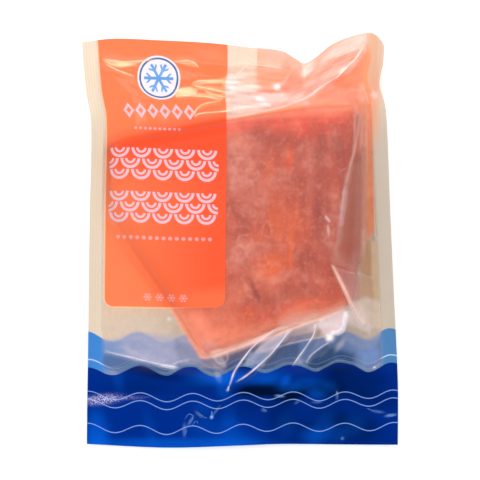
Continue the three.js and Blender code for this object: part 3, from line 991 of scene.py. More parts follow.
PALE_FLESH = [
    (1.4, 36.5, 8.7, 16.3, 0, 0.5),
    (31.7, 39.9, 5.8, 6.7, 0, 0.35),
    (44.7, 48.6, 3.4, 5.8, 10, 0.35),
    (19.7, -17.3, 7.7, 2.4, 22, 0.6),
    (27.4, -6.7, 1.4, 4.3, -18, 0.5),
    (12, 23.6, 4.8, 9.6, -30, 0.3),
    (3.4, -23.6, 1.4, 5.8, 20, 0.4),
    (-1.9, -10.1, 4.8, 4.8, 0, 0.4),
    (31.2, -17.8, 1.9, 2.4, 0, 0.35),
    (37, -18.3, 1.4, 2.4, 10, 0.35),
    (45.7, 17.3, 2.9, 10.6, 6, 0.35),
    (1.4, -1, 3.8, 2.9, 0, 0.35),
    (11.5, -1.9, 5.8, 1.4, 0, 0.3),
    (-16.8, -47.6, 6.7, 3.8, 20, 0.3),
    (43.3, 0.5, 4.8, 7.7, 0, 0.3),
    (6.3, 13, 5.8, 5.8, 0, 0.35),
    (1, -6.3, 6.7, 5.8, 0, 0.5),
    (10.6, -4.3, 4.8, 4.8, 0, 0.25),
    (7.7, -14.9, 4.8, 3.4, 0, 0.4),
    (-1, 27.4, 4.8, 9.6, 0, 0.25),
    (-2.9, 43.8, 3.8, 11.5, 0, 0.25),
    (23.1, 30.3, 4.3, 4.8, 0, 0.3),
    (-13.9, -50, 3.4, 2.9, 0, 0.3),
    (-19, -40.9, 1.7, 3.8, 10, 0.6),
    (-4.3, -38.5, 2.4, 2.4, 0, 0.4),
]
LIT_FLESH = [
    (50, -31.3, 3.4, 2.4, 20, 0.4),
    (-24, -41.3, 9.6, 9.6, -20, 0.9),
    (-8.7, -46.2, 13.5, 4.8, 20, 0.6),
    (-3.4, 50.5, 6.7, 5.8, 0, 0.35),
    (24, 61.5, 14.4, 1.9, 8, 0.6),
    (48.1, 64, 10.6, 1.7, 3, 0.9),
    (13.5, -43.3, 9.6, 2.4, 18, 0.5),
    (40.9, -34.6, 13.5, 2.4, 12, 0.6),
    (26.4, 56.3, 2.9, 4.8, -10, 0.3),
    (-33.7, -29.8, 5.8, 9.6, -35, 0.4),
    (-1.9, -24.5, 5.8, 5.8, 0, 0.45),
    (10.6, -16.8, 5.8, 2.9, 0, 0.3),
    (24, -35.1, 6.7, 2.9, 16, 0.35),
    (31.7, -32.2, 7.7, 2.9, 10, 0.3),
    (-16.3, -42.8, 10.6, 8.7, 0, 0.35),
    (43.3, 61.1, 12.5, 1.9, 2, 0.5),
    (33.7, -35.1, 13.5, 2.4, 14, 0.2),
    (-8.7, -33.2, 5.8, 5.8, 0, 0.35),
    (15.4, -40.9, 15.4, 2.9, 20, 0.6),
    (50, -30.3, 3.8, 2.9, 20, 0.4),
    (-4.8, -48.6, 10.6, 2.9, 22, 0.5),
    (16.8, -21.6, 7.7, 5.8, 0, 0.2),
]
RED_FLESH = [
    (29.8, -31.7, 16.3, 3.8, 14, 0.45),
    (29.3, 57.7, 4.8, 6.7, 8, 0.9),
    (-3.4, 54.3, 8.7, 2.4, 0, 0.7),
    (21.6, 55.3, 3.8, 2.4, 0, 0.5),
    (12.5, 58.2, 12.5, 2.4, 8, 0.6),
    (43.3, 59.1, 12.5, 2.4, 3, 0.4),
    (24, 37.5, 1.9, 5.8, -15, 0.4),
    (31.2, 39.4, 2.4, 6.7, -12, 0.35),
    (28.8, 51.9, 21.2, 3.8, 0, 0.3),
    (28.8, 57.2, 27.9, 4.3, 0, 0.5),
    (-3.8, 57.2, 4.8, 2.9, 0, 0.3),
    (16.8, -38.9, 12.5, 3.4, 16, 0.3),
    (26.4, 53.8, 6.3, 3.4, 0, 0.15),
    (41.3, 57.7, 6.7, 4.3, 0, 0.1),
    (-26.7, -34.1, 2.4, 1.9, 0, 0.5),
    (-15.4, -36.1, 4.8, 3.4, 0, 0.35),
    (-6.7, -45.2, 2.9, 1.9, 0, 0.45),
    (-2.4, -29.8, 2.9, 2.9, 0, 0.3),
    (5.3, -33.7, 3.4, 2.4, 0, 0.3),
    (11.1, -38, 2.4, 1.4, 0, 0.4),
]

# Trapped air under the film: middle and half sizes of each ring
BUBBLES = [
    (5.8, 32.7, 2.9, 4.3),
    (12.9, 5, 2.4, 3.4),
    (2.4, 0, 3.4, 3.1),
    (11.1, -10.1, 2.4, 1.9),
    (-3.8, -52.4, 1.9, 1.4),
]

# Brightness of the studio round the pack
ROOM_LIGHT = 0.6
CEILING_LIGHT = 0.01
WALL_LIGHT = 0.2

# Curves and distances in the plan view


def blend_steps(t):
    """The usual smooth step from 0 to 1."""
    t = np.clip(t, 0, 1)
    return t * t * (3 - 2 * t)


def eased(value, nothing, full):
    """0 where a value is at nothing or beyond, 1 at full, and a smooth step between them."""
    return blend_steps((value - nothing) / (full - nothing))


def part_of(x, y, part):
    """1 in a part of the pack, 0 outside it, and a smooth step over the spans at its sides."""
    share = np.ones(x.shape)
    for value, spans in zip((x, y), part):
        for span in spans:
            share *= eased(value, *span)
    return share


def tapered(share, ends):
    """1 along a line, and less towards its ends, over this share of it."""
    return blend_steps(np.minimum(share, 1 - share) / ends)


def halo(away, reach, power=2):
    """1 where there is no distance, and little beyond this reach."""
    return np.exp(-((away / reach) ** power))


def turned(x, y, turn):
    """How far places lie along a direction, and off it."""
    return x * math.cos(turn) + y * math.sin(turn), y * math.cos(turn) - x * math.sin(turn)


def along_edge(stations, share):
    """Points at these shares of an edge, on a smooth curve through its stations."""
    table = np.array(stations, float)
    before = table[np.maximum(np.arange(len(table)) - 1, 0)]
    after = table[np.minimum(np.arange(len(table)) + 1, len(table) - 1)]
    slopes = (after[:, 1:] - before[:, 1:]) / (after[:, :1] - before[:, :1])
    i = np.searchsorted(table[1:-1, 0], share, side="left")
    span = (table[i + 1, 0] - table[i, 0])[:, None]
    t = (share - table[i, 0])[:, None] / span
    start = table[i, 1:] * (2 * t**3 - 3 * t**2 + 1) + slopes[i] * span * (t**3 - 2 * t**2 + t)
    end = table[i + 1, 1:] * (3 * t**2 - 2 * t**3) + slopes[i + 1] * span * (t**3 - t**2)
    return start + end


def seam_points(across, along):
    """The sheet that the four edges span: columns x, y and height of the seam."""
    bottom, top = along_edge(BOTTOM_EDGE, across), along_edge(TOP_EDGE, across)
    left, right = along_edge(LEFT_EDGE, along), along_edge(RIGHT_EDGE, along)
    u, v = across[:, None], along[:, None]
    low = (1 - u) * np.array(BOTTOM_EDGE[0][1:]) + u * np.array(RIGHT_EDGE[0][1:])
    high = (1 - u) * np.array(TOP_EDGE[0][1:]) + u * np.array(TOP_EDGE[-1][1:])
    ruled = (1 - v) * bottom + v * top
    crossed = (1 - u) * left + u * right
    return ruled + crossed - ((1 - v) * low + v * high)


def smooth_line(points, steps, closed=False):
    """A smooth curve through points, as steps + 1 places along it."""
    knots = np.array(points, float)
    count = len(knots)
    stretch = np.linspace(0, count if closed else count - 1, steps + 1)
    i = np.minimum(stretch.astype(int), count - 1 if closed else count - 2)
    t = (stretch - i)[:, None]

    def knot(j):
        return knots[j % count] if closed else knots[np.clip(j, 0, count - 1)]

    p0, p1, p2, p3 = knot(i - 1), knot(i), knot(i + 1), knot(i + 2)
    a, b = (p2 - p0) / 2, (p3 - p1) / 2
    return (2 * p1 - 2 * p2 + a + b) * t**3 + (3 * p2 - 3 * p1 - 2 * a - b) * t**2 + a * t + p1


def nearest_on_line(x, y, points):
    """Distance to a run of straight pieces, and the share of their number there."""
    best = np.full(x.shape, np.inf)
    share = np.zeros(x.shape)
    for i, (a, b) in enumerate(zip(points[:-1], points[1:])):
        dx, dy = b - a
        t = np.clip(((x - a[0]) * dx + (y - a[1]) * dy) / (dx * dx + dy * dy + NEAREST), 0, 1)
        away = np.hypot(x - a[0] - t * dx, y - a[1] - t * dy)
        closer = away < best
        best = np.where(closer, away, best)
        share = np.where(closer, (i + t) / (len(points) - 1), share)
    return best, share


def close_to(x, y, points, room):
    """True where a place lies in the box round these points, widened by some room."""
    low, high = points.min(0) - room, points.max(0) + room
    return (x > low[0]) & (x < high[0]) & (y > low[1]) & (y < high[1])


def beside_line(x, y, line, room, ends):
    """The places near a line, how far off it they are, and the line's taper there."""
    curve = smooth_line(line, len(line) * LINE_STEPS)
    near = close_to(x, y, curve, room)
    away, share = nearest_on_line(x[near], y[near], curve)
    return near, away, tapered(share, ends)


def inside_outline(x, y, points):
    """True where a place lies inside a closed run of points."""
    inside = np.zeros(x.shape, bool)
    for a, b in zip(points[:-1], points[1:]):
        crosses = (a[1] > y) != (b[1] > y)
        reach = a[0] + (y - a[1]) / (b[1] - a[1] + NEAREST * (b[1] == a[1])) * (b[0] - a[0])
        inside ^= crosses & (x < reach)
    return inside


def soft_patches(x, y, patches):
    """Sum of soft ellipses: x, y, half sizes, turn in degrees and amount."""
    total = np.zeros(x.shape)
    for cx, cy, rx, ry, degrees, amount in patches:
        run, off = turned(x - cx, y - cy, math.radians(degrees))
        total += amount * np.exp(-((run / rx) ** 2 + (off / ry) ** 2) ** 1.5)
    return total


def patched(x, y, patches, most=1):
    """How far soft patches cover each place."""
    return np.clip(soft_patches(x, y, patches), 0, most)


def facets_at(x, y, facets):
    """Sum of flat facets: corners, softness of the edge and amount."""
    total = np.zeros(x.shape)
    for corners, soft, amount in facets:
        rim = np.array(corners + corners[:1], float)
        near = close_to(x, y, rim, 2 * soft)
        away, _ = nearest_on_line(x[near], y[near], rim)
        depth = np.where(inside_outline(x[near], y[near], rim), away, -away)
        total[near] += amount * eased(depth, -soft, soft)
    return total


def seen_at(x, y, height):
    """Where these points look to be from the eye above, on the level of the seams."""
    grow = (EYE_HEIGHT - SEAM_LEVEL) / (EYE_HEIGHT - height)
    return x * grow, y * grow


outline = smooth_line(PORTION_OUTLINE, OUTLINE_STEPS, closed=True)
outline *= (EYE_HEIGHT - EDGE_HEIGHT) / (EYE_HEIGHT - SEAM_LEVEL)
clings = smooth_line(CLINGS_WITHIN, OUTLINE_STEPS, closed=True)


# The shape of the two films


def portion_top(x, from_edge):
    """Height of the portion's upper face, whose shoulders round off towards its edge."""
    flat = PORTION_THICK - THINS_BY_MM * np.maximum(0, THINS_FROM_X - x)
    return flat * (1 - SHOULDER_DROP * np.maximum(0, 1 - from_edge / SHOULDER_WIDTH) ** 2)


def round_corner(across, along):
    """Draws the flat grid's upper right corner in, so that the cut edge turns there in an arc."""
    u = (across - 1) * POUCH_WIDTH / CORNER_RADIUS + 1
    v = (along - 1) * POUCH_LENGTH / CORNER_RADIUS + 1
    drawn = np.where((u > 0) & (v > 0), np.maximum(u, v) / (np.hypot(u, v) + NEAREST), 1)
    across = np.where(drawn < 1, 1 + (u * drawn - 1) * CORNER_RADIUS / POUCH_WIDTH, across)
    along = np.where(drawn < 1, 1 + (v * drawn - 1) * CORNER_RADIUS / POUCH_LENGTH, along)
    return across, along


def inside_seal(across, along):
    """How far a place lies in from where the films come together."""
    sides = np.minimum(across, 1 - across) * POUCH_WIDTH - CLOSED_SIDE
    top = (1 - along) * POUCH_LENGTH - CLOSED_TOP
    bottom = along * POUCH_LENGTH - CLOSED_BOTTOM
    return np.maximum(0, np.minimum(np.minimum(sides, top), bottom))


def broad_folds(x, y):
    """What the broad folds add to the front film."""
    total = np.zeros(x.shape)
    for line, height, reach in FRONT_FOLDS:
        away, share = nearest_on_line(x, y, smooth_line(line, len(line) * FOLD_STEPS))
        total += height * tapered(share, FOLD_TAPER) * halo(away, reach)
    return total


def sharp_creases(x, y):
    """Height of the sharp crests, and how strongly a painted highlight whitens each bent place."""
    height = np.zeros(x.shape)
    crest_glint = np.zeros(x.shape)
    for line, crest, reach, glint_strength in SHARP_CREASES:
        near, away, taper = beside_line(x, y, line, 4 * reach, CREASE_TAPER)
        height[near] += crest * taper * halo(away, reach, CREST_POWER)
        crest_glint[near] = np.maximum(crest_glint[near], glint_strength * taper * halo(away, BEND_WIDTH))
    return height, crest_glint


def shaded_lines(x, y):
    """Depth of the thin shaded lines beside the creases."""
    shade = np.zeros(x.shape)
    for line, depth in SHADED_LINES:
        near, away, taper = beside_line(x, y, line, 5 * SHADE_WIDTH, SHADE_TAPER)
        shade[near] = np.maximum(shade[near], depth * taper * halo(away, SHADE_WIDTH))
    return shade


def radial_folds(outline_share, share, free):
    """Tension folds that run out from the portion to the seals."""
    rng = np.random.default_rng(21)
    table = np.abs(rng.normal(0, 1, TENSION_KNOTS))
    table[-1] = table[0]
    ridge = np.interp(outline_share * (TENSION_KNOTS - 1), np.arange(TENSION_KNOTS), table)
    return TENSION_HEIGHT * ridge * 4 * share * (1 - share) * eased(free, 0, TENSION_ROOM)


def folded_facets(x, y, way, pitch, slope, rng):
    """A sheet folded along many nearly parallel lines, which leave flat facets."""
    total = np.zeros(x.shape)
    for _ in range(FOLD_STRANDS):
        turn = math.radians(way + rng.normal(0, FOLD_SWERVE))
        step = pitch * rng.uniform(*FOLD_PITCHES)
        run, off = turned(x, y, turn)
        phase = off / step + rng.uniform(0, 1) + 0.18 * np.sin(run / (2.6 * step) + rng.uniform(0, 6))
        total += slope * step * np.hypot(phase - np.round(phase), FOLD_ROUNDING)
    return total / math.sqrt(FOLD_STRANDS)


def crumples(x, y):
    """The folded parts of the loose film, and the crinkled bit in the lower seal."""
    rng = np.random.default_rng(7)
    total = np.zeros(x.shape)
    for *patch, way, pitch, slope in FOLDED_PARTS:
        window = soft_patches(x, y, [(*patch, 1)])
        total += window * folded_facets(x, y, way, pitch, slope, rng)
    crinkled = CRINKLE_HEIGHT * soft_patches(x, y, CRINKLED)
    for _ in range(CRINKLE_STRANDS):
        turn, step = rng.uniform(0, math.pi), rng.uniform(*CRINKLE_PITCHES)
        _, off = turned(x, y, turn)
        total += crinkled * np.abs(np.sin(math.pi * off / step + 3 * np.sin(x + y)))
    return total


def film_panes(x, y):
    """How far the panes cover each place, and their milkiness and colour times that share."""
    share, milk, tint = np.zeros(x.shape), np.zeros(x.shape), np.zeros((len(x), 3))
    for corners, soft, amount, milkiness, code in FILM_PANES:
        over = facets_at(x, y, [(corners, soft, amount)])
        share = share * (1 - over) + over
        milk = milk * (1 - over) + milkiness * over
        tint = tint * (1 - over)[:, None] + over[:, None] * np.array(ink(code)[:3])
    return share, milk, tint


def broad_waves(x, y):
    """Gentle waves that both films share where they lie together."""
    wave = np.sin(x / 11 + 1.5 * np.sin(y / 23)) + np.sin((x + 1.7 * y) / 17 + 1)
    wave += np.sin((1.3 * x - y) / 13 + 2) + 0.7 * np.sin(y / 5 + x / 31)
    return BROAD_WAVE * wave


def film_shape(across, along):
    """Everything about both films at these flat places."""
    across, along = round_corner(across, along)
    x, y, seam = seam_points(across, along).T
    distance, outline_share = nearest_on_line(x, y, outline)
    over = inside_outline(x, y, outline)
    clinging, _ = nearest_on_line(x, y, clings)
    clinging = np.where(inside_outline(x, y, clings), -clinging, clinging)
    free = inside_seal(across, along)
    share = np.where(over, 0, distance / (distance + free + NEAREST))
    folds = broad_folds(x, y)
    rise = (portion_top(x, 0) - seam) * (1 - share) ** FRONT_HOLLOW
    tent = seam + FILM_GAP / 2 + rise + folds * np.minimum(1, free / CLOSED_SIDE)
    front = np.where(over, portion_top(x, distance) + folds, tent)
    back = np.where(over, 0, (seam - FILM_GAP / 2) * share**BACK_HOLLOW)
    seen_x, seen_y = seen_at(x, y, front)
    crest, crest_glint = sharp_creases(seen_x, seen_y)
    loose = eased(clinging, *LOOSE_FROM)
    crumple = crumples(x, y)
    tilt = (crumples(x, y + TILT_STEP) - crumple) / TILT_STEP
    room = np.maximum(np.minimum(1, free / DETAIL_ROOM), SEAL_DETAIL)
    detail = (crest + crumple * (TIGHT_CRUMPLE + (1 - TIGHT_CRUMPLE) * loose)) * room
    detail += radial_folds(outline_share, share, free) * (1 - over)
    waves = broad_waves(x, y) * share**2
    back = np.maximum(back + waves, BACK_LEVEL)
    front = np.maximum(front + detail + waves, back + FILM_GAP)
    return {
        "x": x, "y": y, "front": front, "back": back, "free": free, "rim": distance,
        "loose": loose, "crest_glint": crest_glint, "over": over, "tilt": tilt,
        "seen_x": seen_x, "seen_y": seen_y,
    }


# Meshes


def start_piece():
    bpy.ops.object.select_all(action="DESELECT")


def place_points(piece, *columns):
    """Puts the corners of a mesh at these x, y and heights."""
    piece.data.vertices.foreach_set("co", (np.column_stack(columns) * MM).ravel())
    piece.data.update()


def corners_of(piece):
    places = np.empty(len(piece.data.vertices) * 3)
    piece.data.vertices.foreach_get("co", places)
    return places.reshape(-1, 3)


def name_piece(name):
    """The piece just made, under its name."""
    piece = bpy.context.object
    piece.name = piece.data.name = name
    return piece


def flat_grid(name, cells_across, cells_along):
    """A grid over the flat pouch, and each corner's share across and along it."""
    start_piece()
    bpy.ops.mesh.primitive_grid_add(x_subdivisions=cells_across, y_subdivisions=cells_along, size=2)
    piece = name_piece(name)
    places = corners_of(piece)
    return piece, (places[:, 0] + 1) / 2, (places[:, 1] + 1) / 2


def add_attributes(piece, values):
    """Keeps named values on the corners of a mesh, for its material."""
    for name, value in values.items():
        layer = piece.data.attributes.new(name, "FLOAT", "POINT")
        layer.data.foreach_set("value", value.astype(np.float32))


def add_paint(piece, name, colours, share):
    layer = piece.data.attributes.new(name, "FLOAT_COLOR", "POINT")
    layer.data.foreach_set("color", np.column_stack([colours, share]).astype(np.float32).ravel())


def label_tone(x, y, loose):
    """How light the label's ink looks: loose film is lighter, and so is the label's lower left."""
    lower = eased(y, *TONE_DOWN)
    least = 0.15 + 0.45 * eased(y, *TONE_FOOT)
    leftwards = 1 - TONE_FALL * (x - TONE_FROM_X) / TONE_SPAN
    return np.maximum(loose, lower * np.clip(leftwards, least, 1))


def make_front_film():
    """The clear, printed film over the portion, with all that its material needs to know."""
    piece, across, along = flat_grid("front_film", *FRONT_CELLS)
    shape = film_shape(across, along)
    place_points(piece, shape["x"], shape["y"], shape["front"])
    x, y, over = shape["seen_x"], shape["seen_y"], shape["over"]
    beside = np.minimum(across, 1 - across) * POUCH_WIDTH - CLOSED_SIDE
    welded = 1 - np.clip((beside + 0.5) / (0.4 + 2 * eased(y, *WELD_SOFTENS)), 0, 1)
    upper = eased(y, *UPPER_FILM)
    veil = RIM_VEIL[0] + (RIM_VEIL[1] - RIM_VEIL[0]) * upper
    near = halo(shape["rim"] / np.where(over, veil, BLUSH_WIDTH), 1) * (1 - eased(x, *RIM_ENDS))
    flank = part_of(x, y, FLANK)
    # Painted light: the haze grows lighter or darker with each facet's tilt
    streaks = np.clip(1 + TILT_SHARE * (0.3 + 0.7 * upper) * shape["tilt"], *STREAK_LIMITS)
    streaks = 1 + (streaks - 1) * (1 - STREAKS_LOST * flank)
    haze = np.where(over, HAZE_ON_PORTION, HAZE_LOW + (HAZE_HIGH - HAZE_LOW) * upper)
    haze += soft_patches(x, y, MILKIER)
    paned, milk, tint = film_panes(x, y)
    haze = (haze * (1 - paned) + milk) * streaks
    haze = haze * (1 - near) + near * RIM_HAZE
    # Painted highlights: along the bent film, in the glare patches and on the lit facets
    bends = BEND_GLARE * shape["crest_glint"] * eased(y, *BENDS_ABOVE)
    painted_glare = (bends + soft_patches(x, y, PAINTED_GLARE)) * np.clip(streaks, 0.7, 1.25)
    painted_glare += facets_at(x, y, PAINTED_GLARE_FACETS) * np.clip(0.4 + 0.6 * streaks, 0, 1.6)
    matt = np.maximum(near, halo(beside, MATT_WIDTH))
    add_paint(piece, "pane", tint, paned)
    add_attributes(piece, {
        "haze": np.clip(haze * (1 - welded), 0, 1),
        "loose": shape["loose"],
        "tone": label_tone(x, y, shape["loose"]),
        "painted_light": np.clip(upper * (y > LIGHT_ABOVE) + soft_patches(x, y, PAINTED_LIGHT_PATCHES), 0, 1),
        "painted_shade": patched(x, y, PAINTED_SHADE_PATCHES),
        "painted_glare": np.clip(painted_glare, 0, 1),
        "shade": np.clip(shaded_lines(x, y), 0, 1),
        "painted_rim_glow": np.where(over, np.minimum(1, 8 * near), near),
        "ruddy": np.maximum(upper, eased(x, *RUDDY_LEFT)),
        "matt": matt,
        "calm": np.maximum(matt, FLANK_CALM * flank),
        "mauve": patched(x, y, MAUVE),
        "crinkle": patched(x, y, CRINKLED),
        "lift": soft_patches(x, y, LIFTED_PRINT),
        "shade_out_of_light": part_of(x, y, OUT_OF_LIGHT),
    })
    piece.visible_shadow = False
    bpy.ops.object.shade_smooth()
    return piece


def flat_share_at(x, y):
    """The flat places that come to lie at these places in plan."""
    across, along = x / POUCH_WIDTH + 0.5, y / POUCH_LENGTH + 0.5
    for _ in range(PLACING_ROUNDS):
        now_x, now_y, _ = seam_points(across, along).T
        across = np.clip(across + (x - now_x) / POUCH_WIDTH, 0, 1)
        along = np.clip(along + (y - now_y) / POUCH_LENGTH, 0, 1)
    return across, along


def on_front(x, y):
    """The places on the front film that look to be here from above, as x, y and height."""
    height = film_shape(*flat_share_at(x, y))["front"]
    shrink = (EYE_HEIGHT - height) / (EYE_HEIGHT - SEAM_LEVEL)
    height = film_shape(*flat_share_at(x * shrink, y * shrink))["front"]
    return x * shrink, y * shrink, height


def pleat_places(line, glint_strength):
    """Plan places of one ridge, five across, how high each rises and how white its painted
    highlight is.
    """
    length = np.hypot(*np.diff(np.array(line, float), axis=0).T).sum()
    steps = max(PLEAT_LEAST, int(length / PLEAT_STEP))
    middle = smooth_line(line, steps)
    along = np.gradient(middle, axis=0)
    side = np.column_stack([-along[:, 1], along[:, 0]]) / np.hypot(*along.T)[:, None]
    share = np.linspace(0, 1, steps + 1)
    rng = np.random.default_rng(int(100 * length))
    flicker = np.interp(share, np.linspace(0, 1, FLICKERS), rng.uniform(0.35, 1, FLICKERS))
    thick = tapered(share, PLEAT_TAPER) * 0.9 + 0.1
    half = (PLEAT_HALF[0] + PLEAT_HALF[1] * glint_strength**2) * (0.4 + 0.6 * thick * flicker)
    across = np.array(PLEAT_ACROSS)
    places = middle[:, None, :] + side[:, None, :] * (half[:, None] * across)[:, :, None]
    profile = 1 - across**2
    rise = PLEAT_HEIGHT * glint_strength * thick[:, None] * profile - PLEAT_FOOT * (profile == 0)
    crest_glint = glint_strength * (thick * (0.3 + 0.7 * flicker))[:, None] * profile**0.7
    return places.reshape(-1, 2), rise.ravel(), crest_glint.ravel(), steps


def pleat_tint(x, y):
    """Colour and strength of the painted highlight on the bent film: lavender, but cream above the
    portion, pink along its flank and blue over the sea."""
    flank = np.maximum(part_of(x, y, BENT_FLANK), part_of(x, y, BENT_SIDE) * (y < 0))
    tint = np.tile(ink("#EAE4F8")[:3], (len(x), 1))
    for share, code in (
        (part_of(x, y, BENT_UPPER), "#FFE4D4"),
        (part_of(x, y, BENT_LABEL), "#FFE0B4"),
        (flank, "#F2BCAC"),
        (part_of(x, y, BENT_SEA), "#5C98E8"),
    ):
        tint += share[:, None] * (np.array(ink(code)[:3]) - tint)
    return tint, 1.1 - 0.35 * flank


def make_pleats():
    """Narrow pinched ridges on the sharpest bends, thinning to their ends, with painted highlights.
    """
    made = [pleat_places(line, glint_strength) for line, _, _, glint_strength in SHARP_CREASES]
    x, y, height = on_front(*np.vstack([places for places, *_ in made]).T)
    ridges = []
    first = 0
    for places, rise, crest_glint, steps in made:
        own = slice(first, first + len(places))
        first += len(places)
        start_piece()
        bpy.ops.mesh.primitive_grid_add(
            x_subdivisions=len(PLEAT_ACROSS) - 1, y_subdivisions=steps, size=2
        )
        ridge = bpy.context.object
        place_points(ridge, x[own], y[own], height[own] + rise)
        add_attributes(ridge, {"crest_glint": crest_glint})
        add_paint(ridge, "tint", *pleat_tint(*places.T))
        ridges.append(ridge)
    start_piece()
    for ridge in ridges:
        ridge.select_set(True)
    bpy.context.view_layer.objects.active = ridges[0]
    bpy.ops.object.join()
    pleats = name_piece("film_pleats")
    pleats.visible_shadow = False
    bpy.ops.object.shade_smooth()
    return pleats


def make_back_film():
    """The cream film on which the portion lies."""
    piece, across, along = flat_grid("back_film", *BACK_CELLS)
    shape = film_shape(across, along)
    place_points(piece, shape["x"], shape["y"], shape["back"])
    x, y = seen_at(shape["x"], shape["y"], shape["back"])
    add_attributes(piece, {
        "shade_out_of_light": part_of(x, y, OUT_OF_LIGHT),
        "behind": eased(shape["free"], *BEHIND_SEAL),
        "glow": part_of(x, y, GLOWING_CORNER),
        "ruddy": eased(x, *BACK_RUDDY),
        "peach": part_of(x, y, PEACH_SIDE),
        "faded": patched(x, y, FADED_PRINT),
        "pale": part_of(x, y, PALE_LEFT),
    })
    bpy.ops.object.shade_smooth()
    return piece


def bubble_rings(x, y):
    """The pale, broken outlines of the air trapped under the film."""
    total = np.zeros(x.shape)
    for cx, cy, rx, ry in BUBBLES:
        turn = np.arctan2(y - cy, x - cx)
        wobble = 1 + 0.1 * np.sin(3 * turn + cx) + 0.07 * np.sin(5 * turn + 2 * cy)
        off = (np.hypot((x - cx) / rx, (y - cy) / ry) * wobble - 1) * min(rx, ry)
        gaps = 0.55 + 0.45 * np.sin(2 * turn + cx + cy) * np.sin(3 * turn + cy)
        total = np.maximum(total, gaps * halo(off, BUBBLE_RIM))
    return total


def flesh_relief(x, y):
    """Shallow dips between the flakes and small lumps of frost, down from the film."""
    bands = (x + 4 * np.sin(y / 16) + 2 * np.sin(y / 7 + 1)) / FLAKE_WIDTH
    gap = np.abs(bands - np.round(bands)) * 2
    lumps = np.sin(x / 2.3 + 2 * np.sin(y / 5)) * np.sin(y / 2.9 + 1.5 * np.sin(x / 4)) + 1
    return FLAKE_DIP * halo(gap, FLAKE_GAP) + FROST_HEIGHT * lumps


def make_portion():
    """The fish: a ball whose top becomes the face, its middle the walls and its foot the base."""
    start_piece()
    bpy.ops.mesh.primitive_uv_sphere_add(segments=420, ring_count=200, radius=1)
    piece = name_piece("salmon_portion")
    ball = corners_of(piece)
    down = np.arccos(np.clip(ball[:, 2], -1, 1)) / math.pi
    round_share = 1 - (np.arctan2(ball[:, 1], ball[:, 0]) / (2 * math.pi)) % 1
    steps = np.concatenate([[0], np.cumsum(np.hypot(*np.diff(outline, axis=0).T))])
    at = round_share * steps[-1]
    rim = np.column_stack([np.interp(at, steps, outline[:, k]) for k in (0, 1)])
    middle = np.array(PORTION_MIDDLE, float)
    outwards = np.clip(down / FACE_SHARE, 0, 1)
    wall = np.clip((down - FACE_SHARE) / WALL_SHARE, 0, 1)
    inwards = np.clip((1 - down) / (1 - FACE_SHARE - WALL_SHARE), 0, 1)
    on_face = down < FACE_SHARE
    below = down > FACE_SHARE + WALL_SHARE
    inset = RIM_ROOM + WALL_LEAN * wall + FOOT_ROUNDING * wall**6
    reach = np.hypot(*(rim - middle).T)
    rim = middle + (rim - middle) * (1 - inset / reach)[:, None]
    radius = np.where(on_face, outwards, np.where(below, inwards, 1))
    x, y = (middle + (rim - middle) * radius[:, None]).T
    edge, _ = nearest_on_line(x, y, outline)
    upper = portion_top(x, edge) - UNDER_FILM
    lower = (portion_top(x, 0) - UNDER_FILM) * (1 - wall) + UNDER_FILM * wall
    z = np.where(on_face, upper, np.where(below, UNDER_FILM, lower))
    z = z - on_face * flesh_relief(x, y)
    place_points(piece, x, y, z)
    x, y = seen_at(x, y, z)
    # Rim and peach are painted light along the lit edges, left of the right flank
    leftwards = eased(x, *LIT_RIM)
    red = 0.45 * halo(edge, PEACH_WIDTH, 3) * eased(y, *RED_UPWARDS) * leftwards
    add_attributes(piece, {
        "rim": halo(edge, RIM_WIDTH) * leftwards,
        "red": np.clip(red + soft_patches(x, y, RED_FLESH), 0, 1),
        "peach": halo(edge, PEACH_WIDTH) * eased(y, *PEACH_DOWN) * leftwards,
        "orange": patched(x, y, ORANGE_FLESH),
        "deep_and_shaded": patched(x, y, DARK_AND_SHADED_FLESH, 1.4),
        "pale": patched(x, y, PALE_FLESH),
        "lit": patched(x, y, LIT_FLESH),
        "bubble": bubble_rings(x, y),
    })
    bpy.ops.object.mode_set(mode="EDIT")
    bpy.ops.mesh.select_all(action="SELECT")
    bpy.ops.mesh.normals_make_consistent(inside=False)
    bpy.ops.object.mode_set(mode="OBJECT")
    bpy.ops.object.shade_smooth()
    return piece


# Materials


def ink(code):
    """A colour from its six-digit code, in the linear values that shaders take."""
    parts = [int(code[i : i + 2], 16) / 255 for i in (1, 3, 5)]
    return tuple(p / 12.92 if p <= 0.04045 else ((p + 0.055) / 1.055) ** 2.4 for p in parts) + (1,)


